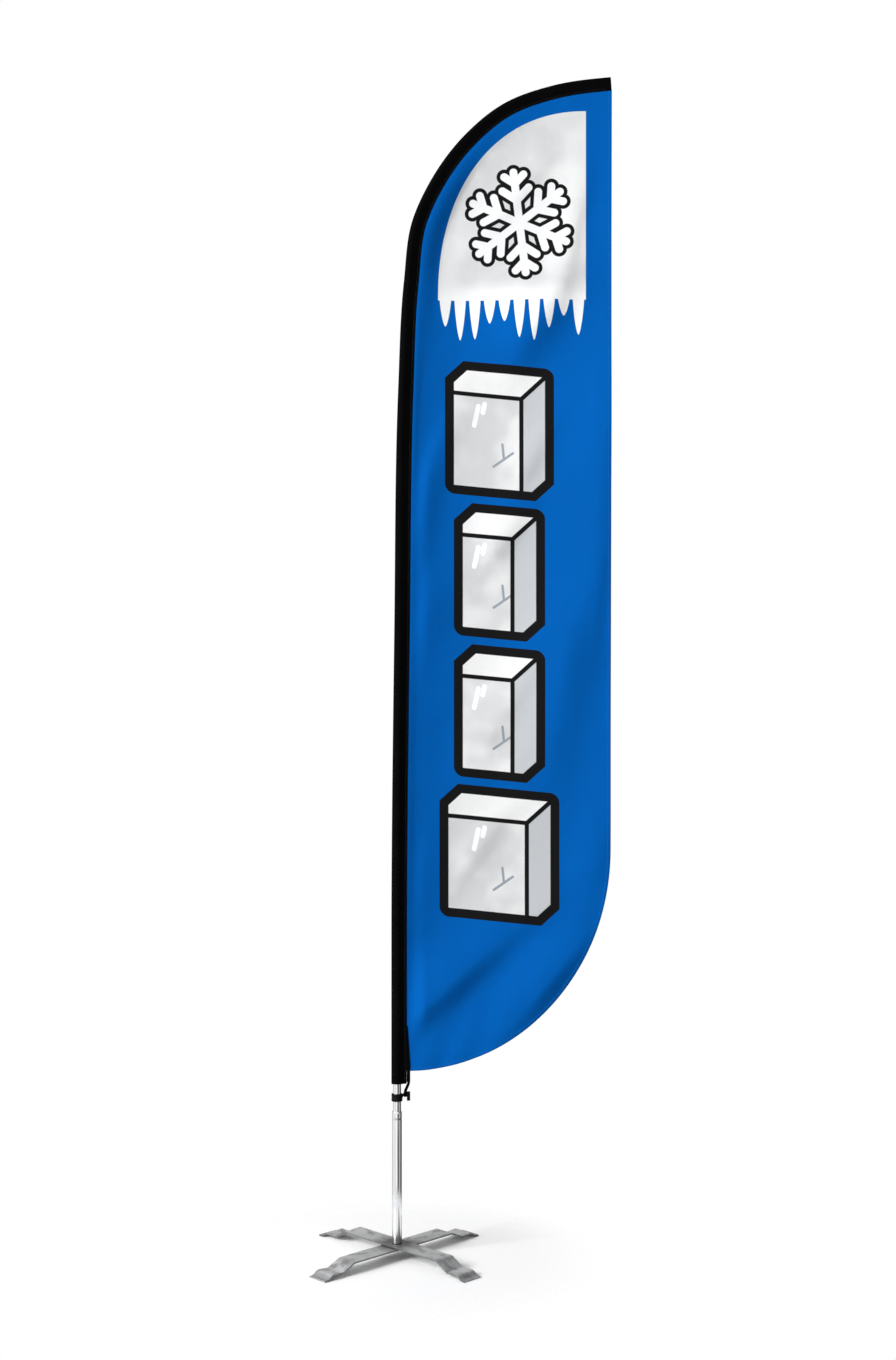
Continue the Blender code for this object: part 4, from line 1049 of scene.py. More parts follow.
@dataclass
class PrintedPanel:
    """The printed cloth, with its rolled hem and its stitches."""

    shop: Workshop
    line: MastLine
    foot: float = PANEL_FOOT
    corner_rise: float = 0.769
    lean: float = 0.0045
    cloth: float = 0.0005
    hem: float = 0.011
    hem_proud: float = 0.00045
    stitch_proud: float = 0.00095
    trough: float = 0.022
    tuck: float = 0.0022
    edge_ease: float = 0.07
    foot_ease: float = 0.12
    sway: float = 0.003
    crease: float = 0.0016
    tug: float = 0.0012
    seam_xs: Sequence[float] = field(init=False)
    seam_heights: Sequence[float] = field(init=False)
    top: Vector = field(init=False)
    near: float = field(init=False)
    corner: Vector = field(init=False)
    folds: tuple[Fold, ...] = (
        Fold(0.185, 0.948, 41, 0.33, 0.056, 0.135, 0.0300),
        Fold(0.530, 0.965, 50, 0.27, 0.052, 0.120, 0.0260),
        Fold(0.700, 1.420, 74, 0.26, 0.060, 0.110, 0.0100),
        Fold(0.300, 1.440, 54, 0.15, 0.038, 0.055, 0.0075),
        Fold(0.085, 1.300, 76, 0.28, 0.060, 0.045, 0.0050),
        Fold(0.560, 1.980, 80, 0.40, 0.095, 0.160, 0.0230),
        Fold(0.360, 1.880, 60, 0.18, 0.045, 0.070, 0.0085),
        Fold(0.085, 2.200, 72, 0.24, 0.080, 0.060, 0.0110),
        Fold(0.700, 2.350, 84, 0.24, 0.030, 0.060, 0.0050),
        Fold(0.360, 2.490, 54, 0.18, 0.042, 0.075, 0.0115),
        Fold(0.130, 2.760, 70, 0.26, 0.060, 0.040, 0.0090),
        Fold(0.058, 2.470, 80, 0.22, 0.060, 0.040, 0.0100),
        Fold(0.730, 2.880, 84, 0.30, 0.050, 0.110, 0.0130),
        Fold(0.470, 2.780, 58, 0.16, 0.040, 0.060, 0.0075),
        Fold(0.475, 3.250, 58, 0.18, 0.075, 0.130, 0.0290),
        Fold(0.610, 3.560, 78, 0.24, 0.035, 0.060, 0.0085),
        Fold(0.200, 3.600, 67, 0.34, 0.190, 0.066, -0.0230),
        Fold(0.060, 3.330, 76, 0.16, 0.055, 0.035, 0.0110),
        Fold(0.420, 3.700, 48, 0.16, 0.035, 0.060, 0.0065),
    )

    def __post_init__(self) -> None:
        """Measure the seam and the free edge."""
        line, count = self.line, 900
        lengths = [self.foot + (line.end - self.foot) * i / count for i in range(count + 1)]
        seam = [line.seam(length) - line.at(length)[1] * self.tuck for length in lengths]
        self.seam_xs, self.seam_heights = zip(*((point.x, point.y) for point in seam))
        self.top, self.near = seam[-1], seam[0].x
        self.corner = Vector((self.top.x - self.lean, self.foot + self.corner_rise))

    def left(self, z: float) -> float:
        """X of the seam at a height."""
        return looked_up(self.seam_heights, self.seam_xs, z)

    def roof(self, x: float) -> float:
        """Height of the seam over an X."""
        return looked_up(self.seam_xs, self.seam_heights, x)

    def right(self, z: float) -> float:
        """X of the free edge or of the rounded lower corner at a height.

        Args:
            z: up from the floor.

        Returns:
            The X from the mast's axis.
        """
        if z >= self.corner.y:
            share = (z - self.corner.y) / (self.top.y - self.corner.y)
            return self.corner.x + (self.top.x - self.corner.x) * share
        sine = clamped(1.0 - (z - self.foot) / self.corner_rise)
        return self.near + (self.corner.x - self.near) * math.sqrt(1.0 - sine * sine)

    def flutter(self, x: float, z: float) -> float:
        """How far the cloth stands forward (-) or back (+) of its plane at a point.

        Args:
            x: across from the mast's axis.
            z: up from the floor.

        Returns:
            The distance in metres.
        """
        across = max(x - self.left(z), 0.0)
        down = max(self.roof(x) - z, 0.0)
        clear = across * down / max(math.hypot(across, down), MERGE)
        ease = min(clear / self.edge_ease, 1.0)
        ease = ease * ease * (3 - 2 * ease)
        low = clamped((z - self.foot) / self.foot_ease)
        wave = sum(fold.at(x, z) for fold in self.folds)
        sway = self.sway * math.sin(2.3 * z + 3.0 * x) * min(clear / 0.5, 1.0)
        crease = noise.noise(Vector((x * 9.0, z * 4.0, 1.7))) * self.crease
        tug = self.tug * math.exp(-((z - self.foot) / 0.20) ** 2)
        tug *= math.sin(58.0 * (x - z * 0.35))
        share = min(across / max(self.right(z) - self.left(z), 0.05), 1.0)
        hang = clamped((z - self.foot - 0.06) / 0.4) * min(down / 0.5, 1.0)
        hang *= clamped((clear - self.tuck) / 0.02)
        bowl = self.trough * math.sin(math.pi * share ** 0.72) * hang
        return bowl - (wave * (0.25 + 0.75 * low) + sway + crease) * ease \
            + tug * min(clear / 0.04, 1.0)

    def height_at(self, share: float) -> float:
        """Height of a row, closer together at the foot and at the top."""
        return self.foot + (self.top.y - self.foot) * (1 - math.cos(math.pi * share)) / 2

    def edge(self, share: float) -> tuple[Vector, Vector]:
        """Point of the free edge and the lower curve, from the top, and its inward normal.

        Args:
            share: 0 at the top of the free edge, 1 at the foot of the curve.

        Returns:
            The point and the normal, in X from the axis and Z.
        """
        run, rise = self.corner.x - self.near, self.corner_rise
        straight = self.top.y - self.corner.y
        curve = math.pi / 2 * math.sqrt((run * run + rise * rise) / 2)
        way = share * (straight + curve)
        if way <= straight:
            z = self.top.y - way
            return Vector((self.right(z), z)), Vector((-1.0, 0.0))
        angle = math.pi / 2 * min((way - straight) / curve, 1.0)
        point = Vector((self.near + run * math.cos(angle),
                        self.foot + rise * (1 - math.sin(angle))))
        inward = Vector((-math.cos(angle) / run, math.sin(angle) / rise))
        return point, inward.normalized()

    def spot(self, x: float, z: float, proud: float = 0.0) -> Vector:
        """A point of the cloth, or proud of it, in the shared frame."""
        return Vector((self.line.axis_x + x, self.flutter(x, z) + proud, z))

    def area(self) -> float:
        """Flat area of the cloth in square metres.

        Returns:
            The area.
        """
        count = 2000
        step = (self.top.y - self.foot) / count
        heights = [self.foot + step * (i + 0.5) for i in range(count)]
        return sum((self.right(z) - self.left(z)) * step for z in heights)

    def build(self) -> None:
        """Make the panel, its hem and the hem's stitches."""
        def cloth(s: float, t: float) -> Point2:
            """Flat coordinates for a share across and a share along."""
            z = self.height_at(t)
            return (self.left(z) + (self.right(z) - self.left(z)) * s, z)

        shape = shaped_grid(76, 330, lambda s, t: self.spot(*cloth(s, t)), cloth)
        panel = self.shop.piece("printed_panel", shape, PrintedCloth(), "printed_cloth", "mast",
                                ("flag_panel",), sharp=80.0, wall=self.cloth)
        hem = self._hem()
        stitches = self._hem_stitches()
        self.area()

    def _hem(self) -> bpy.types.Object:
        """The edge, folded over and sewn down.

        Returns:
            The hem.
        """
        half = self.cloth / 2 + self.hem_proud
        rim = [(1.0, 0.7), (0.93, 1.0), (0.5, 1.0)]
        turn = [(0.0006, 1.0), (-0.0004, 0.5)]
        side = [(self.hem * across, half * out) for across, out in rim]
        side += [(across, half * out) for across, out in turn]
        across = [(a, -b) for a, b in side] + [(-0.0006, 0.0)] + side[::-1]

        def base(s: float, t: float) -> tuple[Vector, Vector, float, float]:
            """Where a point of the hem's section stands.

            Args:
                s: share across, from 0 to 1.
                t: share along, from 0 to 1.

            Returns:
                The point on the cloth, the edge's inward normal, and the section's depth and side.
            """
            depth, proud = across[round(s * (len(across) - 1))]
            point, inward = self.edge(t)
            return point + inward * max(depth, 0.0), inward, depth, proud

        def place(s: float, t: float) -> Vector:
            """A point of the hem.

            Args:
                s: share across, from 0 to 1.
                t: share along, from 0 to 1.

            Returns:
                The point in the shared frame.
            """
            point, inward, depth, proud = base(s, t)
            spot = self.spot(point.x, point.y, proud)
            if depth < 0:
                spot += Vector((inward.x, 0.0, inward.y)) * depth
            return spot

        def cloth(s: float, t: float) -> Point2:
            """Flat coordinates for a share across and a share along."""
            return base(s, t)[0].to_tuple()

        shape = shaped_grid(len(across) - 1, 420, place, cloth)
        return self.shop.piece("panel_hem", shape, PrintedCloth(), "printed_cloth", "mast",
                               sharp=80.0, wall=GAP)

    def _hem_stitches(self) -> bpy.types.Object:
        """The row of thread that holds the hem, on both faces.

        Returns:
            The stitches.
        """
        spots, count = [], 760
        for i in range(count):
            point, inward = self.edge((i + 0.5) / count)
            ahead, _ = self.edge((i + 0.9) / count)
            spots.append((point + inward * (self.hem * 0.80), (ahead - point).normalized()))
        shape = stitch_rows(spots, lambda p, side: self.spot(p.x, p.y, side * self.stitch_proud))
        return self.shop.piece("hem_stitches", shape, Stitching.BLUE, "printed_cloth", "mast")


class Stitching(Enum):
    """Thread colours."""

    BLUE = ("thread_blue", (0.001, 0.075, 0.31), (0.004, 0.15, 0.52))
    BLACK = ("thread_black", (0.006, 0.006, 0.007), (0.028, 0.028, 0.030))

    def material(self) -> bpy.types.Material:
        """Spun thread, lighter along its strands.

        Returns:
            The material.
        """
        name, colour, light = self.value
        nodes = NodeSheet(name)
        strand = nodes.noise(nodes.place(), 2600.0, 1.0)
        return nodes.finish(Base_Color=nodes.mix(strand.ramp(0.3, 0.7), colour, light),
                            Roughness=strand * 0.2 + 0.5, Normal=nodes.relief(strand, 0.0001))


def stitch_rows(spots: Sequence[tuple[Vector, Vector]],
                place: Callable[[Vector, float], Vector],
                length: float = 0.0036, radius: float = 0.00032) -> bmesh.types.BMesh:
    """Small stitches on both faces of a sheet.

    Args:
        spots: each stitch's middle and its direction, in the sheet's plane.
        place: the point in the shared frame, for a middle and a side of -1 or 1.
        length: length of a stitch.
        radius: half the thread's thickness.

    Returns:
        The stitches.
    """
    shape = bmesh.new()
    for start in range(0, len(spots), 50):
        batch = bmesh.new()
        for middle, along in spots[start:start + 50]:
            turn = Vector((along.x, 0.0, along.y)).to_track_quat("Z", "Y").to_matrix().to_4x4()
            for side in (-1.0, 1.0):
                bmesh.ops.create_cone(batch, cap_ends=True, segments=5, radius1=radius,
                                      radius2=radius, depth=length,
                                      matrix=Matrix.Translation(place(middle, side)) @ turn)
        mesh = bpy.data.meshes.new("stitch_batch")
        batch.to_mesh(mesh)
        batch.free()
        shape.from_mesh(mesh)
        bpy.data.meshes.remove(mesh)
    return shape


SLEEVE_CLOTH = BlackWeave("black_cloth", (0.0024, 0.0024))


@dataclass
class MastSleeve:
    """The black sleeve that is drawn over the mast, with its seam and its closed end."""

    shop: Workshop
    line: MastLine
    foot: float = 0.600
    flat_width: float = 0.117
    hem_share: float = 0.0042
    hem_height: float = 0.0148
    first_stitch: float = 0.606
    stitch_end_gap: float = 0.012
    crumple: float = 0.0007
    fine_crumple: float = 0.0005
    pleat: float = 0.00055
    arch_from: float = 3.2
    sides: int = 16
    rows: int = 480
    sections: dict[float, list[Point2]] = field(default_factory=dict)
    slopes: tuple[list[float], list[Vector], list[float]] = field(init=False)

    def __post_init__(self) -> None:
        """Measure the slope of the sleeve's sides towards the seam."""
        count = 1600
        keys, edges, slopes = [], [], []
        for i in range(count + 1):
            length = self.foot + (self.line.end - self.foot) * i / count
            point, normal = self.line.at(length)
            *_, before, last = self.line.section(length, self.sides)
            edges.append(point + normal * last[0])
            keys.append(edges[-1].x + edges[-1].y)
            slopes.append((before[1] - last[1]) / max(last[0] - before[0], MERGE))
        self.slopes = (keys, edges, slopes)

    def _ring(self, s: float, t: float) -> tuple[float, float, float]:
        """Place along the mast, distance in from the edge and side, for two shares.

        Args:
            s: share across, from 0 to 1.
            t: share along, from 0 to 1.

        Returns:
            The three values, with the side below 0 in front.
        """
        length = self.foot + (self.line.end - self.foot) * t
        if length not in self.sections:
            self.sections[length] = self.line.section(length, self.sides)
        half = self.sections[length]
        index = round(s * 2 * (len(half) - 1)) - (len(half) - 1)
        across, out = half[abs(index)]
        return length, across, out if index > 0 else -out

    def _crumple(self, length: float, across: float, side: float) -> float:
        """Small wrinkles, more of them where the sleeve is bent or pulled.

        Args:
            length: place along the leading edge.
            across: distance in from the edge.
            side: -1 in front, 1 behind.

        Returns:
            The rise in metres.
        """
        arch = clamped((length - self.arch_from) / 0.4)
        foot = math.exp(-((length - self.foot) / 0.10) ** 2)
        grain = noise.noise(Vector((across * 22.0, length * 16.0, side * 3.0)))
        pleat = math.sin(length * 95.0 + across * 60.0 + side * 1.3)
        fine = noise.noise(Vector((across * 60.0, length * 48.0, side * 5.0 + 4.0)))
        inner = clamped(across / 0.045)
        return (self.crumple * grain + self.fine_crumple * fine * (0.4 + arch)
                + self.pleat * pleat * (arch * inner * abs(grain) * 2.0 + foot * 0.5))

    def _place(self, s: float, t: float) -> Vector:
        """A point of the sleeve's outside.

        Args:
            s: share across, from 0 to 1.
            t: share along, from 0 to 1.

        Returns:
            The point in the shared frame.
        """
        length, across, out = self._ring(s, t)
        point, normal = self.line.at(length)
        side, grown = 1.0 if out > 0 else -1.0, abs(out)
        grown += self._crumple(length, across, side) * min(grown / 0.006, 1.0)
        spot = point + normal * across
        return Vector((self.line.axis_x + spot.x, side * grown, spot.y))

    def _cloth(self, s: float, t: float) -> Point2:
        """Flat coordinates of the sleeve's outside."""
        return (s * self.flat_width, self.foot + (self.line.end - self.foot) * t)

    def build(self) -> None:
        """Make the sleeve, the hem at its foot and the seam's stitches."""
        columns = 2 * (len(self.line.section(1.0, self.sides)) - 1)
        shape = closed_ends(shaped_grid(columns, self.rows, self._place, self._cloth),
                            self.line.axis_x + self.line.reach - 0.012)
        sleeve = self.shop.piece("mast_sleeve", shape, SLEEVE_CLOTH, "black_cloth", "mast",
                                 ("mast_pocket",), sharp=70.0, wall=0.0008, inward=True)
        stitches = self._seam_stitches()
        band = self._foot_band(columns)

    def _foot_band(self, columns: int) -> bpy.types.Object:
        """The turned-up hem at the sleeve's mouth.

        Args:
            columns: cells round the sleeve.

        Returns:
            The hem.
        """
        def place(s: float, t: float) -> Vector:
            """A point of the hem, which stands proud of the sleeve.

            Args:
                s: share across, from 0 to 1.
                t: share along, from 0 to 1.

            Returns:
                The point in the shared frame.
            """
            spot = self._place(s, t * self.hem_share)
            spot.y += math.copysign(0.0009, self._ring(s, t * self.hem_share)[2])
            return spot

        shape = shaped_grid(columns, 10, place, lambda s, t: (
            s * self.flat_width, self.foot + t * self.hem_height))
        return self.shop.piece("sleeve_foot_hem", shape, SLEEVE_CLOTH, "black_cloth", "mast",
                               sharp=70.0, wall=0.0007, inward=True)

    def _seam_stitches(self) -> bpy.types.Object:
        """Two rows of thread beside the panel, on both faces.

        Returns:
            The stitches.
        """
        line, spots, count = self.line, [], 700
        for i in range(count):
            run = line.end - self.stitch_end_gap - self.first_stitch
            length = self.first_stitch + run * i / count
            point, normal = line.at(length)
            along = Vector((-normal.y, normal.x))
            for inset in (0.0022, 0.0066):
                spots.append((point + normal * (line.width(length) - inset), along))

        def place(middle: Vector, side: float) -> Vector:
            """Where a stitch lies on one face of the sleeve."""
            return Vector((line.axis_x + middle.x, side * self._seam_half(middle), middle.y))

        shape = stitch_rows(spots, place)
        return self.shop.piece("sleeve_stitches", shape, Stitching.BLACK, "black_cloth", "mast")

    def _seam_half(self, middle: Vector) -> float:
        """Half the sleeve's thickness where a stitch lies, plus a little.

        Args:
            middle: the stitch's middle, in X from the axis and Z.

        Returns:
            The half thickness.
        """
        keys, edges, slopes = self.slopes
        key = middle.x + middle.y
        i = min(max(bisect.bisect_right(keys, key) - 1, 0), len(keys) - 2)
        return self.line.seam_half + GAP + (edges[i] - middle).length * slopes[i]


# ============================================================ tension collar, tab and elastic
@dataclass
class TensionGear:
    """The corner tab, the elastic loop and the collar with its hook."""

    shop: Workshop
    line: MastLine
    tab_width: float = 0.0120
    tab_top_width: float = 0.0030
    tab_foot: float = 0.606
    tab_top: float = 0.800
    tab_half: float = 0.00165
    collar_foot: float = field(init=False)
    collar_height: float = 0.026
    collar_wall: float = 0.0024
    root_length: float = 0.006
    hook_reach: float = 0.046
    hook_thickness: float = 0.008
    horn_width: float = 0.0115
    bridge_foot: float = 0.0175
    bridge_top: float = 0.033
    band_width: float = 0.0095
    band_thickness: float = 0.0022

    def build(self) -> None:
        """Make all three."""
        low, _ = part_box("tension_collar")
        self.collar_foot = low.z
        self._tab()
        self._elastic()
        self._collar(self.line.axis_x - low.x)

    def _tab(self) -> None:
        """Webbing folded over the panel's lower corner."""
        def place(s: float, t: float) -> Vector:
            """A point of the webbing, up one face and down the other.

            Args:
                s: share across, from 0 to 1.
                t: share along, from 0 to 1.

            Returns:
                The point in the shared frame.
            """
            around = t * 2 - 1
            rise = abs(around)
            z = self.tab_foot + (self.tab_top - self.tab_foot) * max(rise - 0.02, 0.0) / 0.98
            out = self.tab_half * math.copysign(min(rise / 0.02, 1.0), around)
            if z > PANEL_FOOT:
                out *= 0.85
            taper = max((z - 0.66) / (self.tab_top - 0.66), 0.0)
            width = self.tab_width + (self.tab_top_width - self.tab_width) * taper
            edge = self.line.seam(max(z, PANEL_FOOT)).x
            ruck = 0.00018 * math.sin(z * 420.0 + s * 2.0)
            return Vector((self.line.axis_x + edge + width * s, out + math.copysign(ruck, out), z))

        shape = shaped_grid(8, 120, place, lambda s, t: (s * 0.009, t * 0.39))
        webbing = BlackWeave("webbing", (0.0018, 0.0012), depth=0.0005)
        self.shop.piece("corner_webbing", shape, webbing, "black_cloth", "mast", ("corner_tab",),
                        sharp=75.0, wall=0.0009)

    def _route(self) -> list[Vector]:
        """The elastic's way, down from the tab, under the hook and up again.

        Returns:
            The way's points.
        """
        touch = self.band_thickness / 2 + GAP
        root = self.line.tube_radius + GAP + self.collar_wall + self.root_length
        inside = (root + self.hook_reach - self.horn_width) / 2
        bridge = self.collar_foot + self.bridge_foot
        top = self.collar_foot + self.bridge_top
        wide = self.hook_thickness / 2 + touch + 0.0005
        hang = self.line.seam(PANEL_FOOT).x + self.tab_width / 2
        half = [
            (hang, -touch, self.tab_foot - GAP),
            (hang, -touch - GAP, self.tab_foot - 0.006),
            (hang * 0.6 + inside * 0.4, -wide * 0.7, (self.tab_foot + top) / 2),
            (inside, -wide, top),
            (inside, -wide, bridge + touch),
            (inside, -wide * 0.90, bridge - touch * 0.6),
            (inside, -wide * 0.62, bridge - touch - GAP),
            (inside, 0.0, bridge - touch - GAP),
        ]
        shift = Vector((self.line.axis_x, 0.0, 0.0))
        route = [Vector(p) + shift for p in half]
        back = [Vector((p[0], -p[1], p[2])) + shift for p in reversed(half[:-1])]
        return self._smoothed(route + back, 6)

    @staticmethod
    def _smoothed(points: Sequence[Vector], steps: int) -> list[Vector]:
        """A smooth curve through points.

        Args:
            points: the points that it passes through.
            steps: chords between two of them.

        Returns:
            The curve's points.
        """
        ends = [points[0] * 2 - points[1], *points, points[-1] * 2 - points[-2]]
        line = []
        for a, b, c, d in zip(ends, ends[1:], ends[2:], ends[3:]):
            for k in range(steps):
                t = k / steps
                line.append(0.5 * (b * 2 + (c - a) * t + (a * 2 - b * 5 + c * 4 - d) * t ** 2
                                   + (b * 3 - a - c * 3 + d) * t ** 3))
        return [*line, points[-1]]

    def _elastic(self) -> None:
        """The loop of ribbed elastic band."""
        route = self._route()
        lengths, frames = distances(route), []
        for i, point in enumerate(route):
            along = (route[min(i + 1, len(route) - 1)] - route[max(i - 1, 0)]).normalized()
            side = Vector((1.0, 0.0, 0.0))
            side = (side - along * side.dot(along)).normalized()
            frames.append((point, side, along.cross(side)))
        last = len(route) - 1
        across, thick = self.band_width / 2, self.band_thickness / 2
        ribs = 9
        face = [(across * (0.92 - 1.84 * i / (2 * ribs)), thick * (1.0 if i % 2 else 0.86))
                for i in range(2 * ribs + 1)]
        section = [(across, thick * 0.5), *face, (-across, thick * 0.5)]
        section += [(-a, -b) for a, b in section]
        section.append(section[0])

        def place(s: float, t: float) -> Vector:
            """A point of the band's surface.

            Args:
                s: share across, from 0 to 1.
                t: share along, from 0 to 1.

            Returns:
                The point in the shared frame.
            """
            point, a, b = frames[round(t * last)]
            wide, out = section[round(s * (len(section) - 1))]
            return point + a * wide + b * out

        def cloth(s: float, t: float) -> Point2:
            """Flat coordinates for a share across and a share along."""
            return (s * 2 * (self.band_width + self.band_thickness), lengths[round(t * last)])

        shape = closed_ends(shaped_grid(len(section) - 1, last, place, cloth))
        knit = BlackWeave("elastic_band", (0.0011, 0.0016), depth=0.0005)
        band = self.shop.piece("elastic_band_loop", shape, knit, "elastic_cord", None,
                               ("elastic_loop",), sharp=60.0)
        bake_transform(band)

    def _collar(self, rim: float) -> None:
        """The moulded ring, its groove and its hook.

        Args:
            rim: the ring's outer radius.
        """
        centre = Vector((self.line.axis_x, 0.0, self.collar_foot))
        bore, tall, arc = self.line.tube_radius + GAP, self.collar_height, 0.0022
        profile = [(bore + 0.0006, 0.0), (rim - arc, 0.0)]
        profile += [(rim - arc + arc * math.sin(a), arc - arc * math.cos(a))
                    for a in (math.pi / 8, math.pi / 4, math.pi * 3 / 8, math.pi / 2)]
        profile += [(rim, tall * 0.36), (rim - 0.0005, tall * 0.40), (rim - 0.0005, tall * 0.60),
                    (rim, tall * 0.64)]
        profile += [(rim - arc + arc * math.cos(a), tall - arc + arc * math.sin(a))
                    for a in (0.0, math.pi / 8, math.pi / 4, math.pi * 3 / 8, math.pi / 2)]
        profile += [(bore + 0.0006, tall), (bore, tall - 0.0006), (bore, 0.0006)]
        ring = lathe(profile, centre, 96)
        self.shop.piece("collar_ring", ring, Moulded.BLACK_NYLON, "black_nylon", "collar",
                        ("tension_collar",), sharp=50.0)

        inside = self.hook_reach - self.horn_width
        middle = bore + self.collar_wall
        corners = [(middle, tall * 0.35), (middle + self.root_length, self.bridge_foot),
                   (inside, self.bridge_foot), (inside, 0.0015), (self.hook_reach, 0.0015),
                   (self.hook_reach, self.bridge_top), (inside - 0.004, self.bridge_top),
                   (middle, tall * 0.9)]
        outline = rounded_line(corners, arc, 5)
        half = self.hook_thickness / 2
        hook = plate([centre + Vector((p.x, -half, p.y)) for p in outline],
                     Vector((0.0, self.hook_thickness, 0.0)))
        rim_edges = [edge for edge in hook.edges
                     if abs(edge.verts[0].co.y - edge.verts[1].co.y) < MERGE]
        bmesh.ops.bevel(hook, geom=rim_edges, offset=0.0011, affect="EDGES", segments=3,
                        profile=0.5, material=-1)
        self.shop.piece("collar_hook", hook, Moulded.BLACK_NYLON, "black_nylon", "collar",
                        sharp=50.0)


# ============================================================ base
@dataclass
class CrossBase:
    """Two bent flat bars, the lower of which folds beside the upper one."""

    shop: Workshop
    axis_x: float
    width: float = 0.080
    thickness: float = 0.005
    toe: float = 0.366
    knee: float = 0.2325
    trough: float = 0.285
    ankle: float = 0.331
    toe_pad: float = 0.015
    trough_lift: float = 0.0105
    ankle_lift: float = 0.0135
    bend_radius: float = 0.020
    yaw: float = 45.0

    def build(self) -> None:
        """Make both bars."""
        for name, node, body, side in (("upper_bar", "upper_leg_bar", "base", 1.0),
                                       ("lower_bar", "lower_leg_bar", "folding_bar", -1.0)):
            _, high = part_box(node)
            self._bar(name, high.z, -self.yaw * side, body, node, side)

    def _middle(self, top: float) -> list[Vector]:
        """The bar's middle line from toe to toe, with a point every few millimetres.

        Args:
            top: height of the level top.

        Returns:
            The line's points, in X and Z.
        """
        half = self.thickness / 2
        arm = [(self.knee, top - half), (self.trough, self.trough_lift + half),
               (self.ankle, self.ankle_lift + half), (self.toe - self.toe_pad, half),
               (self.toe, half)]
        corners = [(-x, z) for x, z in reversed(arm)] + arm
        line = []
        points = rounded_line(corners, self.bend_radius, 8)
        for a, b in zip(points, points[1:]):
            parts = max(math.ceil((b - a).length / 0.006), 1)
            line += [a.lerp(b, i / parts) for i in range(parts)]
        return [*line, points[-1]]

    def _section(self) -> list[Point2]:
        """The bar's rolled section: across and up, with softly rounded edges.

        Returns:
            The section's points.
        """
        half, up = self.width / 2, self.thickness / 2
        edge = 0.0011
        top = [(-half + edge + (self.width - 2 * edge) * i / 18, up) for i in range(19)]
        ends = [(half - edge + edge * math.sin(a), up - edge + edge * math.cos(a))
                for a in (math.pi / 6, math.pi / 3, math.pi / 2)]
        right = ends + [(x, -z) for x, z in reversed(ends)]
        bottom = [(-x, -up) for x, _ in top]
        return top + right + bottom + [(-x, -z) for x, z in right]

    def _bar(self, name: str, top: float, yaw: float, body: str, node: str, crease: float) -> None:
        """Make one bar.

        Args:
            name: the piece's name.
            top: height of its level top.
            yaw: its turn from the flag's plane, in degrees.
            body: the body that it rides on.
            node: the CAD node that it replaces.
            crease: end of the bar, 1 or -1, whose knee was pressed harder.
        """
        line, section = self._middle(top), self._section()
        section = [*section, section[0]]
        last, around = len(line) - 1, len(section) - 1
        turn = Matrix.Rotation(math.radians(yaw), 4, "Z")
        shift = Vector((self.axis_x, 0.0, 0.0))
        sides = []
        for i in range(last + 1):
            along = (line[min(i + 1, last)] - line[max(i - 1, 0)]).normalized()
            before = (line[i] - line[i - 1]).normalized() if i else along
            stretch = 1.0 / max(along.dot(before), 0.9)
            sides.append(Vector((-along.y, along.x)) * stretch)

        def place(s: float, t: float) -> Vector:
            """A point of the bar's surface.

            Args:
                s: share across, from 0 to 1.
                t: share along, from 0 to 1.

            Returns:
                The point in the shared frame.
            """
            i, (across, up) = round(t * last), section[round(s * around)]
            spot = line[i] + sides[i] * (up + self._pressed(line[i].x, across, crease))
            return turn @ Vector((spot.x, across, spot.y)) + shift

        def flat(s: float, t: float) -> Point2:
            """Across the bar, and along it from the spindle."""
            return (section[round(s * around)][0], line[round(t * last)].x)

        shape = closed_ends(shaped_grid(around, last, place, flat))
        self.shop.piece(name, shape, Metal.BAR_STEEL, "bar_steel", body, (node,), sharp=42.0)

    def _pressed(self, x: float, across: float, crease: float) -> float:
        """Rise of the small stiffening dimple that was pressed into each knee.

        Args:
            x: along the bar from the spindle.
            across: across the bar.
            crease: end of the bar whose knee was pressed harder.

        Returns:
            The rise, which is 0 or less.
        """
        off = (abs(x) - self.knee - 0.004) / 0.020
        side = (across + 0.006) / 0.011
        depth = 0.0018 if x * crease < 0 else 0.0009
        ends = clamped((self.width / 2 - 0.004 - abs(across)) / 0.01)
        return -depth * math.exp(-off * off - side * side) * ends


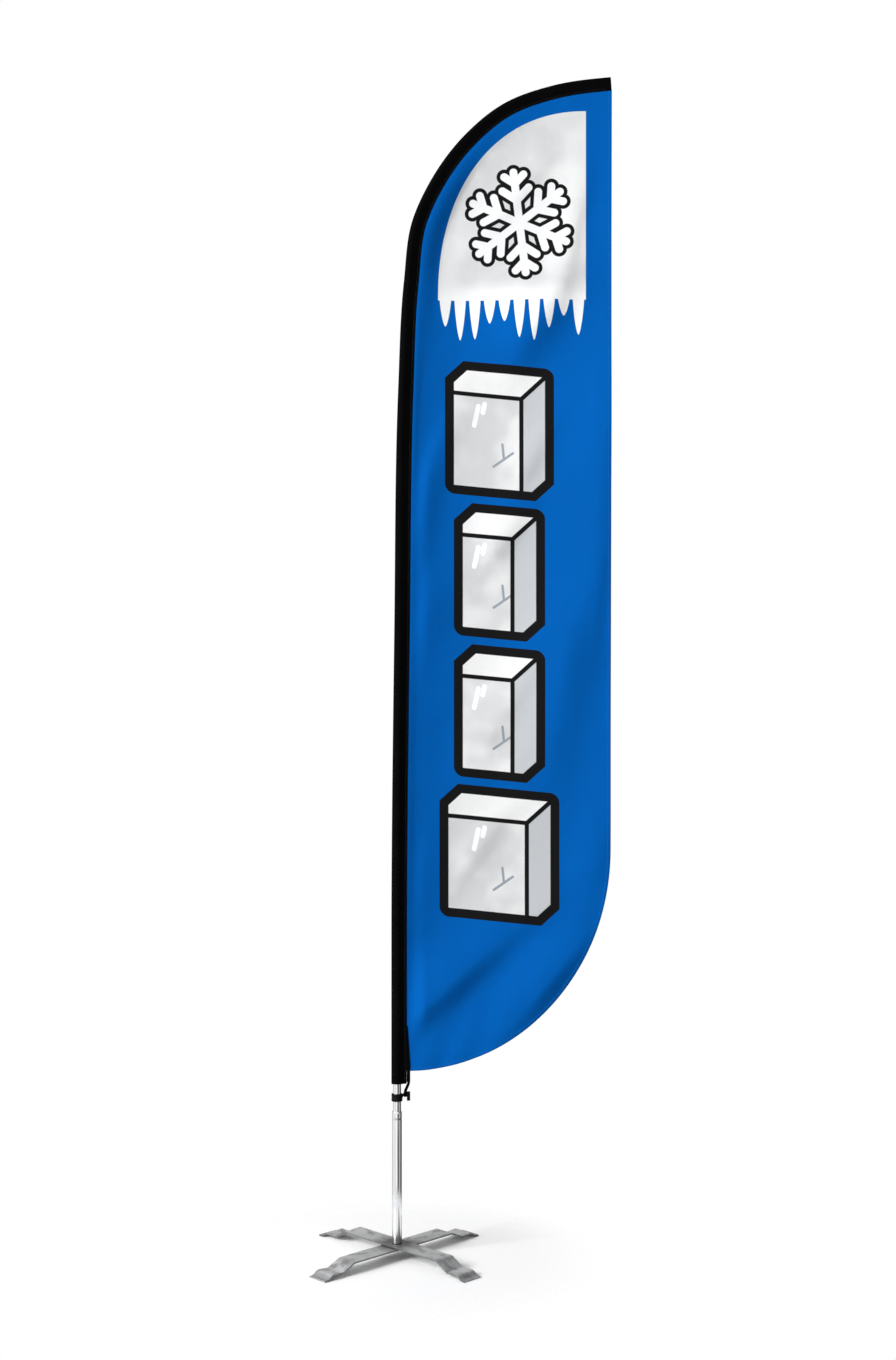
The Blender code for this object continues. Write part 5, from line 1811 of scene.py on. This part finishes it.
# ============================================================ mast
@dataclass
class MastTubes:
    """The polished tubes that show, and finishes for what is inside them."""

    shop: Workshop
    line: MastLine

    def build(self) -> None:
        """Make the two lower tubes and dress the other nodes."""
        low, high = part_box("mast_base_tube")
        radius = (high.x - low.x) / 2
        self._base_tube(low.z, high.z, radius, self.line.tube_radius + GAP)
        foot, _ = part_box("mast_lower_tube")
        self._lower_tube(foot.z)
        inner = {
            Metal.ALUMINIUM: ("mast_middle_tube",),
            Moulded.FIBREGLASS: ("mast_fibre_tube", "flexible_tip_rod"),
            Moulded.RUBBER: ("mast_tip_cap", "pocket_tip_liner", "lower_grip_ring",
                             "upper_grip_ring"),
            Moulded.BLACK_NYLON: ("rotor_sleeve", "rotor_cap"),
            Moulded.WHITE_NYLON: ("pivot_washer",),
            Metal.BRIGHT_STEEL: ("nut_washer", "spindle_nut", "spindle_shaft", "retaining_clip",
                                 "fibre_tube_ferrule", "inner_race_spacer"),
            Metal.BEARING_STEEL: ("lower_bearing_inner_race", "upper_bearing_inner_race",
                                  "lower_bearing_outer_race", "upper_bearing_outer_race",
                                  "lower_bearing_ball_cage", "upper_bearing_ball_cage"),
        }
        for finish, names in inner.items():
            self.shop.dress(finish, *names)

    def _base_tube(self, foot: float, top: float, radius: float, bore: float) -> None:
        """The straight lowest tube, with rolled ends and a pressed line under its mouth.

        Args:
            foot: height of its foot.
            top: height of its mouth.
            radius: outer radius.
            bore: inner radius.
        """
        edge, dent = 0.0009, 0.0005
        rolled = [(radius - edge, 0.0), (radius - edge * 0.3, edge * 0.3), (radius, edge)]
        outside = [(across, foot + up) for across, up in rolled]
        outside += [(radius, top - 0.030), (radius - dent, top - 0.0285),
                    (radius - dent, top - 0.0275), (radius, top - 0.026)]
        outside += [(across, top - up) for across, up in reversed(rolled)]
        tube = lathe([*outside, (bore, top), (bore, foot)],
                     Vector((self.line.axis_x, 0.0, 0.0)), 128)
        self.shop.piece("base_tube_drawn", tube, Metal.ALUMINIUM, "polished_aluminium",
                        "base_tube", ("mast_base_tube",), sharp=40.0)

    def _lower_tube(self, foot: float) -> None:
        """The second tube, which follows the mast's line.

        Args:
            foot: place of its foot along the leading edge.
        """
        line, rows = self.line, 60
        top, radius, wall = line.rooms[0][0], line.tube_radius, 0.0020

        def place(s: float, t: float) -> Vector:
            """A point of the tube's wall, up the outside and down the inside.

            Args:
                s: share across, from 0 to 1.
                t: share along, from 0 to 1.

            Returns:
                The point in the shared frame.
            """
            step = t * (2 * rows + 2)
            inner = step > rows + 0.5
            share = clamped((2 * rows + 1 - step if inner else step) / rows)
            if step > 2 * rows + 1.5:
                inner, share = False, 0.0
            size = radius - wall if inner else radius
            length = foot + (top - foot) * share
            point, normal = line.at(length)
            centre = point + normal * (line.ease + line.room(length))
            angle = math.tau * s
            spot = centre + normal * (size * math.cos(angle))
            return Vector((line.axis_x + spot.x, size * math.sin(angle), spot.y))

        shape = shaped_grid(72, 2 * rows + 2, place, lambda s, t: (s * 0.09, t * 2.4))
        self.shop.piece("second_tube_drawn", shape, Metal.ALUMINIUM, "polished_aluminium", "mast",
                        ("mast_lower_tube",), sharp=40.0)


# ============================================================ studio
@dataclass
class Studio:
    """A plain pale floor, soft lights and the camera."""

    axis_x: float
    eye: Vector = field(default_factory=lambda: Vector((-0.0507, -6.4, 2.004)))
    lens: float = 48.68
    white: tuple[float, ...] = (1.0, 1.0, 1.0, 1.0)

    def build(self) -> None:
        """Make the floor, the lights, the surroundings and the camera."""
        self._floor()
        self._sky()
        lights = (
            ("key_light", (-8.6, -5.7, 6.0), (0.0, 0.0, 2.0), 4.4, 1500.0, ""),
            ("fill_light", (2.6, -5.6, 2.6), (0.0, 0.0, 1.7), 3.0, 40.0, ""),
            ("front_card", (-2.0, -8.6, 0.4), (self.axis_x, 0.0, 0.3), 7.0, 80.0, "diffuse"),
            ("left_card", (-7.2, -1.8, 0.4), (self.axis_x, 0.0, 0.3), 7.0, 48.0, "diffuse"),
            ("right_card", (6.5, -2.4, -0.6), (self.axis_x, 0.0, 0.3), 4.0, 24.0, "diffuse"),
            ("back_light", (-0.4, 3.0, 2.7), (-0.25, 0.0, 0.0), 2.4, 18.0, "glossy"),
        )
        for name, at, towards, size, power, unseen in lights:
            light = bpy.data.lights.new(name, "AREA")
            light.size, light.energy = size, power
            item = bpy.data.objects.new(name, light)
            item.location = at
            way = Vector(towards) - Vector(at)
            item.rotation_euler = way.to_track_quat("-Z", "Y").to_euler()
            item.visible_diffuse = unseen != "diffuse"
            item.visible_glossy = unseen != "glossy"
            bpy.context.scene.collection.objects.link(item)
        camera = bpy.data.objects.new("camera", bpy.data.cameras.new("camera"))
        camera.data.lens = self.lens
        camera.data.sensor_width = 36.0
        camera.location = self.eye
        camera.rotation_euler = (math.pi / 2, 0.0, 0.0)
        bpy.context.scene.collection.objects.link(camera)
        bpy.context.scene.camera = camera
        bpy.context.scene.view_settings.view_transform = "Standard"

    def _floor(self) -> None:
        """A pale floor that fades into the white surroundings."""
        shape = bmesh.new()
        bmesh.ops.create_circle(shape, cap_ends=True, segments=96, radius=1.6)
        bmesh.ops.translate(shape, verts=shape.verts, vec=(self.axis_x, 0.0, -0.0008))
        nodes = NodeSheet("studio_floor")
        x, y, _ = nodes.split(nodes.place())
        away = nodes.radius(x - self.axis_x, y)
        speck = nodes.noise(nodes.place(), 60.0, 2.0)
        pale = nodes.finish(Base_Color=(0.96, 0.96, 0.96), Roughness=speck * 0.1 + 0.75,
                            Specular_IOR_Level=0.0, Alpha=away.ramp(0.74, 0.38))
        placed("floor", shape, pale)

    def _sky(self) -> None:
        """White surroundings that light the object more from the left than from the right."""
        world = bpy.data.worlds.new("studio")
        nodes = NodeSheet(world)
        seen = nodes.tree.nodes["Background"]
        seen.inputs["Color"].default_value = self.white
        seen.inputs["Strength"].default_value = 1.0
        way = nodes.add("ShaderNodeTexCoord", {}, {}).outputs["Generated"]
        across, _, _ = nodes.split(way)
        ease = nodes.add("ShaderNodeMapRange", {}, {
            "Value": across, "From Min": 0.75, "From Max": -0.35, "To Min": 0.06, "To Max": 0.62})
        shone = nodes.add("ShaderNodeBackground", {},
                          {"Color": self.white, "Strength": ease.outputs["Result"]})
        ray = nodes.add("ShaderNodeLightPath", {}, {})
        blend = nodes.add("ShaderNodeMixShader", {}, {
            0: ray.outputs["Is Camera Ray"], 1: shone.outputs[0], 2: seen.outputs[0]})
        nodes.tree.links.new(blend.outputs[0], nodes.tree.nodes["World Output"].inputs[0])
        bpy.context.scene.world = world


def main() -> None:
    """Build the flag, its mast and its base, then the studio."""
    logging.basicConfig(level=logging.INFO, format="%(name)s: %(message)s")
    for item in list(bpy.context.scene.objects):
        if item.name in ("Cube", "Light", "Camera"):
            bpy.data.objects.remove(item, do_unlink=True)
    low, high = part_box("mast_base_tube")
    axis_x = (low.x + high.x) / 2
    shop = Workshop()
    line = MastLine(axis_x)
    CrossBase(shop, axis_x).build()
    MastTubes(shop, line).build()
    MastSleeve(shop, line).build()
    PrintedPanel(shop, line).build()
    TensionGear(shop, line).build()
    Studio(axis_x).build()


if __name__ == "__main__":
    main()
